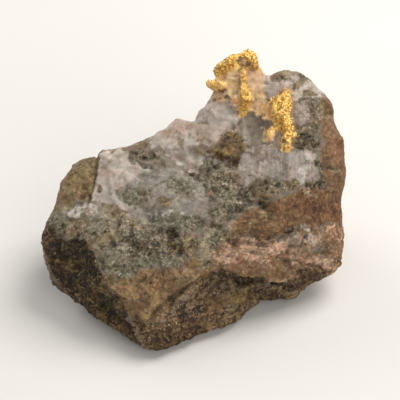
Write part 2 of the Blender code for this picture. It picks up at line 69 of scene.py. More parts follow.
# Patches of each mineral: outlines on the sheet. One dark patch is painted shade, as marked.
PATCHES = {
    "haze": [
        [(-16.2, 8.6), (-11.3, 7.2), (-7.2, 7.2), (-3.6, 5.9), (0, 4.5), (2.3, 3.6), (5, 2.3),
         (4.5, -0.5), (1.4, -2.3), (0.9, -5), (-2.3, -5.4), (-5.4, -3.2), (-9, -2.9), (-12.2, -2.9),
         (-15.8, -3.6), (-18.5, -3.2), (-17.6, -1.4), (-16.2, 0.9), (-17.1, 2.7), (-15.8, 5)],
        [(-0.9, -1.8), (2.7, -1.4), (5, -3.2), (4.1, -5.9), (1.4, -6.8), (-0.5, -5)],
    ],
    "moss": [
        [(-19.8, 2.5), (-17.6, 2.7), (-15.3, 3.4), (-13.1, 2.7), (-10.8, 2), (-10.4, 0.2),
         (-12.6, -1.4), (-14.9, -2), (-16.7, -1.1), (-18.2, 0.9)],
        [(-11.7, -3.6), (-8.6, -3.2), (-4.5, -2.9), (-0.5, -3.2), (1.4, -5), (0, -6.8), (-3.2, -7.2),
         (-6.3, -5.9), (-9, -6.8), (-11.3, -5.9)],
        [(1.4, -1.8), (4.1, -1.4), (6.8, -1.8), (5.9, -4.1), (6.3, -6.8), (6.5, -9), (5, -10.4),
         (3.2, -11.7), (1.6, -9.9), (1.4, -6.8), (2.7, -4.5)],
        [(0.9, 3.6), (4.5, 3.6), (7.7, 1.8), (9, 0), (6.3, -1.4), (3.2, -0.5), (1.1, 0.9)],
        [(-34.7, -3.6), (-32.4, -2), (-30.2, -2.9), (-28.4, -4.5), (-28.8, -6.8), (-31.1, -8.1),
         (-33.3, -7.7), (-34.7, -5.9)],
        [(-23.2, -12.2), (-21.2, -10.8), (-18.9, -11.3), (-17.8, -14), (-18.9, -16.4), (-21.2, -16.9),
         (-23, -14.9)],
        [(-26.1, -4.5), (-23, -4.3), (-19.8, -4.7), (-19.8, -7.2), (-23, -8.6), (-25.7, -7.7)],
        [(-17.6, -14), (-13.5, -13.1), (-9, -13.1), (-5.4, -12.6), (-3.6, -14), (-4.5, -15.3),
         (-9, -14.9), (-12.2, -15.3), (-14, -16.7), (-17.1, -17.6), (-18.9, -17.1), (-18.9, -15.3)],
        [(-6.8, 5.4), (-3.2, 4.5), (-0.9, 2.7), (-2.7, 0.9), (-5.9, 1.8), (-8.1, 3.6)],
    ],
    "sugary": [
        [(-30.2, -3.6), (-26.1, -4.5), (-23, -4.3), (-18, -3.6), (-15.3, -4.1), (-11.3, -5.9),
         (-7.7, -6.3), (-4.5, -5.9), (-3.6, -8.1), (-4.1, -11.7), (-3.2, -14), (-5, -15.3),
         (-9, -14.9), (-12.2, -15.3), (-15.3, -17.1), (-18.9, -18), (-21.6, -17.1), (-23, -14),
         (-23.9, -11.3), (-25.7, -9), (-29.3, -8.6), (-32, -8.6), (-34.2, -8.1)],
        [(5, 8.6), (7.7, 7.2), (9, 4.1), (11.3, 2.7), (14, 1.4), (14, -0.9), (10.4, -1.8), (7.7, -3.2),
         (5.9, -3.6), (2.7, -1.4), (5, 0.5), (3.2, 2.7), (0.5, 4.5), (0.9, 6.8), (2.7, 8.1)],
    ],
    "pepper": [
        [(-23, -5.4), (-21.2, -5), (-19.8, -6.1), (-20.3, -7.7), (-22.1, -7.7)],
        [(-15.8, -6.3), (-13.5, -5.9), (-11.3, -6.8), (-9.5, -9), (-8.6, -11.7), (-9.9, -13.5),
         (-13.1, -13.1), (-15.8, -12.6), (-16.7, -9.9), (-16.7, -7.7)],
        [(-15.5, 11), (-14, 11.3), (-11.7, 10.8), (-10.1, 10.6), (-10.4, 9.2), (-12.2, 9), (-14, 9.2),
         (-15.5, 9.9)],
        [(1.4, 9.9), (3.2, 9.5), (4.5, 8.6), (3.6, 6.8), (1.8, 6.3), (0.2, 7.7)],
        [(9, 2.9), (11.7, 3.2), (14, 2.3), (14.9, 0.5), (12.6, -1.4), (9.9, -1.4), (8.1, 0), (8.1, 1.8)],
        [(23.4, 4.1), (24.8, 4.5), (27, 4.5), (29.3, 4.1), (29.7, 2.7), (26.6, 2.3), (23.4, 2.3)],
        [(16.7, 4.3), (18.5, 4.7), (18.9, 3.2), (17.1, 2.9)],
        [(20.3, 5), (21.8, 4.7), (22.5, 2.7), (20.7, 2.7)],
        [(12.6, 4.5), (14.2, 4.7), (14.4, 3.6), (12.8, 3.4)],
        [(21.4, 14), (22.5, 15.3), (24.3, 15.8), (25.9, 14.6), (27.2, 13.5), (27, 11.9), (25.7, 11.3),
         (23.9, 11.5), (22.1, 11), (21.2, 12.4)],
        [(24.5, 22.5), (26.1, 22.3), (26.6, 20.7), (25.7, 19.8), (24.5, 20.3)],
        [(25, 19.4), (25.7, 18.9), (26.1, 17.1), (25.4, 15.1), (24.8, 16.7)],
        [(22.7, 23), (24.1, 23), (23.9, 21.6), (22.7, 21.6)],
        [(5.2, -3.2), (7.2, -2.7), (8.1, -4.1), (6.8, -5), (5.4, -4.5)],
        [(11.3, 18), (13.1, 18.9), (14.9, 19.4), (15.3, 17.1), (13.5, 15.8), (11.7, 15.8)],
        [(-3.2, 7.2), (-1.4, 6.5), (0.9, 4.7), (-0.5, 4.3), (-2.7, 5.9)],
        [(26.1, 9.5), (27.5, 8.6), (27.5, 6.3), (28.4, 4.5), (27, 4.1), (26.1, 6.3), (25.2, 8.1)],
    ],
    "milky": [
        [(-21.8, 10.1), (-19.8, 10.8), (-17.8, 11.5), (-16.4, 10.6), (-16.2, 9), (-15.3, 8.3),
         (-13.1, 7.4), (-11, 6.8), (-13.5, 6.1), (-15.1, 5.4), (-16, 4.1), (-17.1, 2.9), (-19.1, 2.3),
         (-18.7, 0.9), (-17.8, -0.5), (-16.2, -1.6), (-16.2, -2.5), (-17.8, -2.3), (-19.6, -1.1),
         (-21.6, -0.7), (-23.4, -0.7), (-24.5, 0), (-24.3, 1.8), (-23.9, 3.6), (-23.4, 5.9),
         (-22.7, 8.3)],
        [(-11.3, 13.3), (-9, 16.4), (-7.2, 17.6), (-5, 18.5), (-2, 18), (-0.9, 19.4), (0, 20.7),
         (1.4, 21.4), (2.9, 23.4), (5, 23), (7, 21.8), (8.3, 20.5), (8.6, 18.7), (7.2, 16.2),
         (5, 15.8), (4.3, 13.3), (2, 11.9), (0.7, 13.1), (-1.4, 11.9), (-3.6, 11.5), (-5.9, 11.3),
         (-8.1, 10.6), (-9, 12.2), (-10.8, 11.9)],
        [(-8.1, 11.7), (-5.9, 11.3), (-3.2, 11.3), (-0.9, 10.6), (1.1, 9.7), (0.7, 7.9), (-0.5, 6.3),
         (-2.3, 6.5), (-4.1, 7.7), (-5.9, 9), (-7.7, 10.1)],
        [(14.4, 27.5), (17.6, 26.8), (20.3, 27.5), (21.2, 26.1), (20.7, 24.8), (18.7, 24.8),
         (17.1, 23.4), (15.8, 22.5), (14.2, 23), (14, 24.8)],
    ],
    "coral": [
        [(1.6, 1.8), (2.3, 2), (2.5, 1.4), (1.8, 1.1)],
    ],
    "chalk": [
        [(0, 20.3), (1.8, 21.2), (3.6, 20.7), (3.6, 18.5), (2.3, 17.1), (0.7, 17.6)],
        [(23.6, 11.3), (25.2, 11), (26.1, 9.9), (25.2, 8.8), (23.9, 9.2)],
        [(22.3, 8.1), (23.6, 7.7), (23.9, 5.9), (22.5, 5.6)],
        [(22.1, 5), (23.6, 5.2), (23.9, 3.8), (22.5, 3.2)],
        [(-0.9, 19.4), (0, 20.9), (1.6, 22.5), (3.2, 23.6), (4.5, 22.5), (3.6, 21.2), (1.8, 20.7),
         (0.5, 19.4)],
        [(-21.8, 10.1), (-19.8, 10.8), (-17.8, 11.5), (-16.4, 10.6), (-16.2, 9), (-15.5, 8.1),
         (-16.2, 6.3), (-18, 5), (-19.4, 3.2), (-19.8, 0.9), (-21.2, -0.7), (-23.4, -0.7), (-24.5, 0),
         (-24.3, 1.8), (-23.9, 3.6), (-23.4, 5.9), (-22.7, 8.3)],
        [(18.9, 27), (20.7, 28.1), (22.1, 28.4), (22.5, 27.5), (21.6, 26.6), (21.2, 25.7), (22.3, 25),
         (23.9, 26.1), (23.9, 27.9), (25.7, 26.6), (27.5, 24.1), (28.8, 21.2), (27.5, 21.6),
         (26.1, 23), (24.5, 23.2), (23, 23), (21.6, 22.1), (20.7, 23), (20.5, 24.8), (19.4, 25.7)],
        [(12.8, 30.8), (14.2, 29.7), (15.3, 28.8), (15.3, 27), (14, 26.6), (12.8, 27.9)],
    ],
    "mottle": [
        [(21.2, 23), (23.4, 23.2), (25.2, 23), (26.8, 22.1), (27.2, 19.4), (27.2, 15.8), (25.7, 14.9),
         (23, 15.5), (21.6, 16.2), (21.2, 18.5), (20.7, 20.7)],
        [(11.3, 5), (14.4, 4.7), (18, 4.3), (20.7, 5), (22.5, 4.1), (23.9, 2.7), (20.3, 1.8),
         (15.8, 1.4), (11.7, 2.3)],
    ],
    "lavender": [
        [(21.8, 21.8), (23.9, 22.3), (24.5, 20.7), (24.5, 18.5), (23.9, 16.7), (22.1, 16.4),
         (21.2, 17.8), (21.2, 19.8)],
        [(9.2, 10.8), (12.2, 12.2), (15.8, 12.2), (18.7, 10.8), (21.6, 10.8), (23.6, 11.5),
         (25.9, 10.6), (26.1, 9), (26.6, 7.2), (27, 5), (25.2, 4.3), (23.4, 3.8), (21.8, 4.7),
         (19.4, 4.5), (16.2, 5), (14, 5), (12.2, 4.5), (10.6, 3.2), (8.6, 3.6), (7.7, 5.4), (8.3, 7.7)],
    ],
    "smoke": [
        [(8.8, 18.2), (10.8, 18.9), (13.1, 19.8), (15.3, 19.6), (16, 17.1), (14.4, 16.2), (14.2, 13.5),
         (12.6, 12.4), (10.6, 12.8), (9.7, 14.4), (8.6, 15.5), (7.4, 16.4)],
        [(15.8, 16.2), (17.8, 16.4), (18.5, 14.4), (18, 12.2), (16.2, 12.2), (15.3, 13.5)],
    ],
    "frost": [
        [(14, 27.9), (15.1, 27.7), (15.3, 26.3), (14.2, 25.7)],
        [(-22.5, 9.7), (-21.2, 10.6), (-20, 9.9), (-20.5, 8.3), (-22.1, 8.1)],
        [(-30.2, -3.2), (-29, -2.7), (-28.4, -1.1), (-27, -0.7), (-26.1, -1.4), (-26.6, -2.7),
         (-26.8, -4.3), (-27.7, -4.7), (-28.4, -3.6), (-29.3, -3.8)],
        [(-25.9, -0.9), (-24.3, -0.9), (-23.2, -1.6), (-23, -2.9), (-24.1, -3.6), (-24.8, -2.7),
         (-25.4, -3.8), (-25.9, -2.7)],
        [(6.8, 16.2), (7.4, 17.8), (8.8, 18.7), (8.6, 17.3), (7.9, 16)],
        [(-10.1, -2.9), (-8.1, -2), (-6.8, -2.3), (-3.4, -2.5), (-3.4, -2.9), (-7.7, -3.2), (-9, -3.8)],
    ],
    "olive": [
        [(17.8, 28.8), (19.8, 29), (20.5, 27.7), (19.4, 26.8), (17.8, 27.2)],
        [(11.7, 2.7), (14, 2.9), (15.5, 2), (15.1, 0), (13.1, -0.7), (11.5, 0.7)],
        [(-15.8, 12.8), (-13.1, 13.3), (-11.3, 12.4), (-12.2, 11.3), (-14.9, 11.3)],
        [(-22.1, -0.9), (-19.4, -0.5), (-17.8, -2), (-16, -2.7), (-17.1, -4.3), (-19.6, -4.5),
         (-21.6, -2.7)],
        [(-9.7, 0.2), (-8.1, 0.9), (-6.5, -0.5), (-7.7, -1.8), (-9.2, -1.4)],
        [(-23.2, 3.6), (-22.1, 3.6), (-21.8, 1.8), (-23, 1.6)],
        [(-16, -4.1), (-13.5, -4.7), (-11.5, -6.5), (-12.6, -7.4), (-14.4, -6.5), (-16, -5.4)],
        [(-4.3, -8.3), (-2.3, -7.7), (-0.5, -8.1), (-0.2, -10.8), (-0.7, -13.1), (-2.5, -13.7),
         (-4.1, -11.3)],
        [(15.8, 27.9), (17.1, 28.6), (18.9, 29.3), (20.5, 29.5), (20.3, 28.6), (18.9, 27.7),
         (16.7, 27.5)],
        [(21.2, 26.3), (22.5, 27.7), (23.6, 27.9), (23.4, 26.6), (22.1, 25.4), (21.2, 25.4)],
        [(22.5, 29), (24.3, 27.9), (25.2, 27), (23.9, 27.2), (22.3, 28.4)],
        [(23, 24.3), (24.3, 25.2), (26.1, 24.8), (26.6, 23.6), (24.8, 23.4), (23.2, 23.2)],
        [(0.7, 18.5), (1.8, 18.5), (1.8, 17.1), (0.7, 17.3)],
        [(-0.5, 14.9), (0.5, 14.4), (0.2, 13.5), (-0.7, 13.7)],
        [(-5, 14), (-3.6, 13.5), (-4.1, 11.9), (-5.2, 12.2)],
        [(-1.4, 11.5), (0.9, 11.3), (1.4, 9.9), (-0.5, 9.9)],
        [(0, 5.4), (1.8, 5.6), (2.5, 4.5), (0.7, 4.3)],
        [(-29.7, -5.4), (-27.9, -4.3), (-26.1, -3.6), (-25.2, -5.4), (-26.6, -7.2), (-28.8, -8.6),
         (-30.6, -8.6)],
        [(-23.4, -8.1), (-20.7, -6.5), (-18.5, -6.8), (-18, -9), (-21.2, -10.4), (-23.4, -9.9)],
        [(7.4, 5.9), (9, 5.4), (8.6, 3.8), (7.2, 4.5)],
        [(22.1, 16.2), (24.8, 15.8), (27, 14.4), (25.2, 14.9), (22.5, 15.3)],
        [(4.7, -8.1), (6.3, -6.8), (6.5, -9), (5.2, -10.4)],
        [(-0.2, -14), (2.7, -14), (2.7, -15.5), (0, -15.5)],
    ],
    "cream": [
        [(0, -9.5), (1.1, -9), (2.3, -10.4), (2.3, -12.6), (0.9, -14), (0, -12.6)],
        [(-14, -4.3), (-12.2, -4.7), (-11, -6.3), (-11.7, -7), (-13.1, -5.6)],
        [(0.9, -6.5), (2.7, -6.3), (2.9, -7.9), (1.4, -8.6)],
        [(-29.9, -6.1), (-29, -5.4), (-28.6, -6.5), (-29.3, -7.2)],
        [(-24.3, -10.4), (-23, -10.4), (-23, -11.7), (-24.1, -12.2)],
    ],
    "golden": [
        [(-21.6, 10.4), (-22.5, 8.8), (-23.2, 6.8), (-23.6, 4.5), (-24.1, 2.3), (-24.5, 0),
         (-26.3, -0.2), (-27.9, 0.5), (-29.3, 1.8), (-29.7, 4.1), (-29.3, 6.5), (-27.5, 8.1),
         (-25.7, 9.5), (-23.6, 10.6)],
    ],
    "clay": [
        [(-25.7, -9.5), (-24.3, -8.6), (-23, -9.7), (-22.5, -11.3), (-23.2, -12.6), (-24.5, -12.2),
         (-25.4, -11)],
        [(-31.5, 3.6), (-30.2, 5.9), (-29, 6.8), (-29.5, 3.6), (-29, 1.6), (-27.7, 0.5), (-28.4, -1.1),
         (-29.9, -2.3), (-32, -2.9), (-33.8, -3.6), (-32.9, -0.9)],
    ],
    "dark": [
        [(22.5, 13.3), (23.4, 14.4), (24.8, 14.4), (25.9, 13.3), (25, 12.4), (23.4, 12.2)],
        [(-35.3, -7.2), (-33.3, -6.3), (-32.4, -8.6), (-30.2, -9), (-27.9, -8.6), (-25.9, -9),
         (-24.5, -11.3), (-23.4, -14), (-21.8, -16.9), (-20.5, -20), (-18.7, -22.1), (-17.1, -24.1),
         (-16, -26.3), (-18, -27), (-21.2, -27), (-23.4, -25.7), (-26.1, -23.9), (-27.5, -21.6),
         (-30.2, -19.8), (-32.9, -17.6), (-34.2, -14), (-35.1, -10.8)],
        [(-7.7, -6.5), (-5.6, -6.5), (-5.2, -8.1), (-6.1, -9), (-4.1, -10.4), (-3.6, -11.7),
         (-5.4, -12.2), (-6.8, -10.4), (-7.4, -8.6)],
        # Painted shade: the dark patch in the groove under the overhang of the slab.
        [(7.2, -17.1), (9.9, -17.1), (12.6, -17.6), (13.5, -18.5), (11.3, -19.1), (9, -19.8),
         (6.8, -18.9)],
        [(-24.5, -6.8), (-23, -6.8), (-23.2, -8.3), (-24.5, -8.1)],
        [(15.3, -2.5), (16.2, -2.5), (16.2, -4.3), (15.3, -4.1)],
        [(18.2, 13.7), (19.6, 13.7), (19.6, 12.8), (18.5, 12.6)],
        [(22.1, 15.1), (24.1, 15.1), (24.1, 13.1), (22.3, 13.1)],
        [(24.5, 13.5), (27, 13.7), (27.2, 11.9), (25.2, 11.5)],
        [(25.7, 8.8), (26.6, 9), (27, 7.4), (26.1, 7.2)],
        [(14, 4.5), (15.1, 4.7), (15.3, 3.6), (14.2, 3.4)],
        [(17.1, 4.1), (18, 4.3), (18.2, 3.4), (17.3, 3.2)],
        [(20.7, 4.5), (21.6, 4.7), (21.8, 3.6), (20.9, 3.6)],
        [(23.9, 3.8), (25.2, 4.1), (25.4, 2.7), (24.1, 2.7)],
        [(13.1, -0.5), (14.4, -0.5), (14.9, -2.3), (13.3, -1.8)],
    ],
    "umber": [
        [(22.1, -16.4), (25, -15.5), (27.5, -15.5), (26.6, -18.5), (23.4, -19.8)],
        [(-14.9, -27), (-11.7, -27.5), (-8.6, -29.3), (-9.9, -31.5), (-13.1, -31.1)],
        [(2, 10.8), (4.5, 10.4), (7.2, 9.7), (8.8, 9.5), (8.3, 7.7), (5.4, 8.6), (2.5, 9)],
        [(-33.8, -13.1), (-31.1, -13.7), (-27.9, -15.3), (-28.8, -17.1), (-32, -16)],
        [(-25.7, -19.4), (-23.2, -20.3), (-20.3, -22.5), (-21.6, -23.9), (-24.3, -22.5)],
        [(-34.4, -5), (-32.9, -6.8), (-33.3, -9.5), (-34.9, -9)],
        [(-10.8, -30.2), (-7.9, -27.9), (-4.5, -26.1), (0, -27), (1.4, -29.3), (-4.1, -32.9),
         (-9.9, -34.7)],
        [(-33.3, -17.8), (-30.6, -18.9), (-27.5, -21.2), (-24.8, -23.4), (-22.5, -25.2),
         (-19.8, -26.6), (-16.2, -27), (-14.4, -28.8), (-13.1, -32.9), (-13.5, -34.2), (-16.7, -32.9),
         (-20.3, -30.6), (-23.9, -27.9), (-27.5, -25.2), (-31.1, -22.1), (-33.8, -19.4)],
        [(22.5, -17.1), (25.2, -17.6), (27.9, -16.7), (29.3, -16.2), (25.2, -20.3), (21.2, -20.7),
         (18, -19.8), (20.3, -18.5)],
        [(10.4, -21.2), (14, -20.7), (17.1, -20.7), (18, -22.1), (14, -23), (10.8, -22.5)],
    ],
    "ochre": [
        [(6.3, -20.7), (9.5, -20.3), (12.2, -21.2), (11.7, -23.2), (8.1, -23.9), (5.9, -22.5)],
        [(-21.8, -18), (-20, -17.1), (-18, -18), (-15.8, -17.6), (-13.5, -16), (-11.3, -15.1),
         (-7.2, -15.3), (-3.2, -15.1), (0, -15.5), (3.2, -15.3), (5.4, -16.2), (3.2, -18.2),
         (-0.5, -20), (-3.4, -21.8), (-5.9, -24.1), (-7.7, -27.5), (-10.8, -28.8), (-14, -27.9),
         (-16.4, -25.7), (-18.5, -22.7), (-20.5, -20.3)],
        [(-3.2, -14), (-1.8, -14), (-1.4, -15.8), (-2.7, -17.1), (-3.6, -15.3)],
    ],
    "orange": [
        [(-12.8, -18.9), (-9.9, -18.7), (-7.2, -19.8), (-6.8, -22.1), (-8.6, -24.1), (-10.8, -23.4),
         (-12.2, -21.2)],
        [(-3.6, -15.3), (-2, -15.3), (-2, -17.3), (-3.4, -17.3)],
        [(-19.8, -18.5), (-17.6, -18), (-17.1, -19.8), (-19.4, -20)],
        [(13.7, -2.7), (14.9, -2.9), (14.9, -4.3), (13.7, -4.1)],
        [(-18.5, -19.4), (-15.3, -18.9), (-13.1, -19.8), (-13.5, -22.1), (-16.2, -22.5), (-18, -21.2)],
    ],
    "pinkish": [
        [(21.6, -5.9), (23.9, -5.4), (26.1, -6.1), (26.6, -7.7), (24.3, -7.9), (22.1, -7.2)],
        [(14.9, -15.8), (17.8, -15.1), (19.6, -16), (18.7, -17.8), (15.8, -17.8)],
        [(-17.6, -23), (-14.9, -22.3), (-12.6, -22.7), (-12.6, -24.8), (-14.4, -26.1), (-16.2, -24.8)],
        [(-8.6, -18.9), (-5.4, -18.5), (-3.2, -19.4), (-4.1, -20.7), (-7.7, -20.3)],
        [(1.4, -22.5), (4.5, -21.2), (8.1, -21.6), (6.8, -23.4), (3.2, -24.8)],
        [(-0.9, -16.2), (2.3, -15.8), (3.2, -16.7), (0.5, -17.8)],
    ],
    "foot": [
        [(0, -17.1), (5.9, -15.8), (9.9, -16.7), (14, -18.5), (18, -18.9), (22.5, -18), (29.3, -15.8),
         (30.2, -19.8), (22.5, -21.6), (18, -20.7), (14, -20.3), (9.9, -20.9), (6.3, -19.8),
         (3.2, -19.1), (0, -20.7), (-3.2, -22.5)],
        [(-11.7, -27.5), (-8.1, -27), (-5.9, -24.3), (-3.2, -22.1), (0, -20.3), (3.2, -18.7),
         (6.3, -19.4), (9.9, -20.3), (14, -19.4), (18, -20.3), (22.5, -20.7), (25.7, -20.3),
         (16.2, -25.7), (9, -28.8), (1.1, -32), (-4.5, -33.3), (-10.4, -35.1), (-14, -34.2),
         (-12.8, -30.2)],
    ],
    "tan": [
        [(6.5, -8.1), (9.9, -8.6), (14, -9.5), (17.6, -8.6), (20.3, -10.4), (23.4, -11.5), (27, -11.7),
         (30.2, -11.7), (32, -12.6), (33.8, -14), (30.6, -17.1), (27.5, -17.1), (24.3, -17.1),
         (21.2, -18), (17.1, -19.1), (13.1, -18.5), (9, -17.1), (5.9, -16.4), (2.7, -16), (2.3, -14),
         (3.6, -11.3), (5, -9.9)],
        [(27, -7.2), (28.8, -5.2), (31.1, -5.4), (33.8, -6.3), (33.8, -14), (30.6, -14), (27.9, -12.2),
         (27, -10.4)],
    ],
    "fleck": [
        [(10.4, -8.6), (14, -8.1), (17.1, -8.6), (20.3, -9.9), (23.4, -10.4), (24.5, -12.2),
         (21.6, -12.8), (18.9, -11.9), (15.3, -10.8), (11.3, -10.6)],
        [(3.2, -12.4), (5, -11.3), (7.2, -10.8), (10.4, -11.7), (12.6, -12.6), (14.9, -13.5),
         (14.4, -14.6), (11.3, -14), (8.1, -14), (5, -14), (3.2, -14)],
        [(7.2, -9), (10.4, -9), (14, -10.4), (17.1, -11.3), (20.7, -12.6), (23.9, -12.2),
         (27.9, -12.6), (30.6, -14), (28.8, -15.8), (25.2, -14.4), (21.2, -13.5), (17.1, -12.6),
         (13.1, -12.2), (9, -10.8)],
        [(28.8, -5.4), (30.2, -5.4), (31.5, -7.2), (31.1, -9), (29.7, -7.7)],
    ],
    "ledge": [
        [(17.6, -9), (19.4, -7.9), (20.9, -6.5), (23.4, -5.9), (25.7, -5.9), (27.2, -6.8), (27.5, -9),
         (27, -10.8), (24.8, -11.7), (22.5, -11.3), (20.3, -10.4), (18.5, -9.9)],
    ],
    "rust": [
        [(6.8, -6.3), (8.1, -4.1), (9.9, -2.7), (12.6, -1.8), (15.3, -0.5), (18.9, 0.9), (22.1, 1.8),
         (25.7, 2.3), (29.3, 2.3), (32.4, 3.2), (34.2, 0), (34.2, -5), (31.5, -5.6), (29.3, -4.7),
         (27, -6.1), (23.4, -5.9), (20.7, -6.3), (18, -8.1), (14.9, -9.2), (12.2, -8.8), (9.5, -8.1),
         (7, -7.7)],
    ],
    "russet": [
        [(19.4, 0), (22.5, 0.7), (26.1, 0.2), (29.3, -0.7), (32.4, -1.4), (33.8, -3.2), (31.5, -4.5),
         (27.9, -5), (24.3, -3.6), (21.6, -2.7), (19.8, -1.8)],
    ],
    "strip": [
        [(27.2, 22.5), (28.8, 23), (32, 18.5), (33.8, 13.1), (35.6, 8.1), (35.6, 3.2), (32.4, 1.8),
         (29.3, 2.3), (28.4, 4.1), (27.7, 6.8), (27.2, 10.4), (27.7, 13.1), (27, 15.8), (27.2, 19.4)],
    ],
    "knot": [
        [(26.1, 23.2), (27.7, 23.2), (29, 21.4), (29.9, 19.6), (29.5, 18.7), (28.1, 19.1), (26.8, 20.7)],
        [(-2.7, -13.3), (-0.5, -12.8), (0.7, -14.2), (0, -15.5), (-2.3, -15.3)],
        [(5.9, -22.1), (7.7, -20.7), (10.4, -20.3), (12.6, -21.2), (11.3, -22.5), (8.6, -23.6),
         (6.3, -23.4)],
        [(4.5, 14), (5.9, 15.5), (8.1, 15.3), (9.7, 13.7), (10.6, 12.2), (9.9, 10.6), (9, 9),
         (8.6, 7.7), (7.4, 8.8), (5, 9), (2.7, 9.2), (2, 11), (3.6, 12.2)],
    ],
    "peach": [
        [(2.7, 24.8), (5, 24.3), (5.9, 22.5), (4.5, 21.6), (2.7, 22.5)],
        [(3.6, 27), (5, 28.6), (6.8, 29.3), (9, 30.2), (9, 26.1), (8.8, 21.6), (7.7, 21.2), (5.9, 23),
         (4.3, 24.1), (2.7, 24.8)],
        [(9.9, 32), (13.1, 31.1), (14.9, 29.3), (15.5, 27.2), (14.4, 26.1), (14.2, 23.4), (15.8, 22.1),
         (16, 19.8), (14, 20), (12.2, 20.3), (11.3, 21.2), (10.8, 25.2), (9.9, 28.8)],
    ],
    "amber": [
        [(12.6, 22.1), (15.3, 21.6), (17.6, 18.9), (17.6, 16.7), (15.8, 17.6), (14, 18.9), (12.4, 19.8)],
        [(7.7, 23.9), (9, 24.3), (11.7, 23), (12.6, 21.2), (11.9, 20), (9.9, 19.4), (8.1, 20.3)],
        [(3.6, 27.5), (5.4, 29), (8.1, 30.6), (9, 30.2), (8.6, 28.8), (5.9, 27.9), (4.5, 26.6)],
        [(12.6, 23.6), (13.7, 23.9), (14.4, 23), (14.2, 21.4), (12.8, 21.6)],
        [(14.4, 16), (16, 16.4), (17.1, 16.2), (16.7, 14.6), (15.8, 13.3), (14.4, 13.5)],
        [(4.1, 27), (6.3, 27.7), (8.6, 27.5), (8.8, 24.3), (6.8, 23.2), (5, 23.9), (3.6, 25.2)],
        [(11.3, 25.2), (12.2, 24.8), (12.4, 21.6), (11.3, 21.2)],
    ],
    "leaf": [
        [(15.8, 18.9), (18, 18.5), (18.9, 16.2), (18, 15.3), (16.7, 16.7)],
        [(2.5, 27.9), (4.1, 30.6), (6.3, 32.4), (8.6, 33.8), (10.4, 34.9), (13.3, 34.7), (14, 31.7),
         (14.2, 29.5), (12.8, 29), (11.3, 29.7), (9.9, 29.7), (9, 29.9), (7.2, 29.3), (5.6, 28.4),
         (3.8, 27.2)],
        [(9, 29.7), (10.6, 29.7), (10.6, 27.5), (10.8, 25.7), (11.5, 24.3), (11.7, 22.1), (11, 20),
         (9.7, 18.5), (8.8, 18.7), (8.6, 21.2), (8.6, 23.6), (9.2, 25.7)],
        [(0.9, 26.1), (2.9, 27.2), (5, 26.3), (5.6, 25), (3.2, 24.3), (1.4, 24.8)],
        [(18.7, 24.8), (20.5, 25), (20.9, 22.5), (20.5, 19.8), (20.5, 18), (21.4, 16.2), (22.1, 14.6),
         (20.7, 14), (20.7, 11.7), (19.6, 10.6), (18.2, 11.3), (18.2, 14), (18.7, 15.5), (17.6, 16.9),
         (16.4, 18.2), (15.8, 20.3), (15.8, 22.3), (17.3, 23.6)],
    ],
}
# Strokes of some minerals: their line on the sheet and half width, in mm. Some dark and umber strokes are
# painted shade, as marked.
STROKES = {
    "frost": [
        ([(-15.5, 9), (-13.5, 8.1), (-11, 7.2)], 0.23),
        ([(23.2, -6.1), (24.5, -7.4), (25.4, -9.2), (26.3, -10.8)], 0.27),
    ],
    "dark": [
        # Painted shade: the next three dark strokes lie in the groove under the slab and in the crack that
        # runs down from it.
        ([(14, -18.2), (17.1, -18.9), (20.3, -18.5)], 0.36),
        ([(6.3, -17.3), (4.1, -16.9), (1.8, -16.7)], 0.23),
        ([(3.2, -16.2), (-0.5, -18.2), (-3.2, -20), (-5.4, -22.3), (-6.8, -23.9)], 0.14),
        ([(4.7, 12.6), (5, 11.3), (3.2, 9.9), (1.8, 9.5)], 0.23),
    ],
    "cream": [
        ([(5.6, -3.2), (6.5, -5.4), (6.5, -8.1)], 0.23),
        ([(27.2, 18.7), (28.8, 18.5), (29.9, 18.7)], 0.18),
        ([(28.4, 7.2), (29.7, 6.5), (31.5, 6.8)], 0.11),
        ([(23.9, 1.6), (26.1, 0.9)], 0.18),
        ([(5, 7.9), (5.9, 6.8), (6.3, 5.2)], 0.27),
    ],
    "umber": [
        # Painted shadow: a dark line under the ledge of the rusty band.
        ([(8.1, -7.4), (11.3, -7.7), (14, -8.8), (17.6, -8.1), (21.2, -6.8)], 0.41),
        ([(-14.6, -26.1), (-13.1, -27.9), (-12.2, -29.7)], 0.27),
        ([(9.7, 30.4), (11.5, 30.4)], 0.36),
        # Painted shadow: a dark line under the nubbin of gold.
        ([(4.3, 24.5), (5, 24.3)], 0.23),
        ([(28.4, 7.2), (30.2, 7), (32.4, 7.4)], 0.16),
        ([(27.2, 20.3), (28.6, 21.2)], 0.27),
    ],
    "olive": [
        ([(-31.5, -0.9), (-30.2, -1.8)], 0.36),
        ([(5.9, 23.2), (6.8, 22.5)], 0.2),
        ([(3.2, 22.7), (4.5, 23)], 0.18),
    ],
}

# On the hidden sides each mineral fills some ellipsoids: middle and radii, in mm.
LUMPS = {
    "foot": [((0, 20, 8), (45, 30, 24))],
    "rust": [((32, 8, 22), (9, 20, 16)), ((22, 22, 20), (11, 10, 12))],
    "tan": [((6, 24, 8), (14, 12, 9)), ((30, -2, 8), (8, 10, 8))],
    "milky": [((8, 20, 38), (14, 9, 8)), ((-6, 16, 32), (20, 9, 6))],
    "sugary": [((-6, 20, 20), (12, 9, 5)), ((26, 20, 36), (6, 6, 6))],
    "golden": [((-29, 6, 19), (9, 11, 8))],
    "dark": [((-30, -4, 7), (13, 16, 9)), ((-12, 16, 7), (8, 9, 5))],
    "pepper": [((2, 22, 31), (7, 6, 3)), ((24, 24, 28), (5, 5, 5))],
    "peach": [((11, 20, 43), (7, 5, 3))],
    "ochre": [((-16, 14, 15), (8, 8, 4)), ((14, 24, 14), (7, 6, 3))],
}

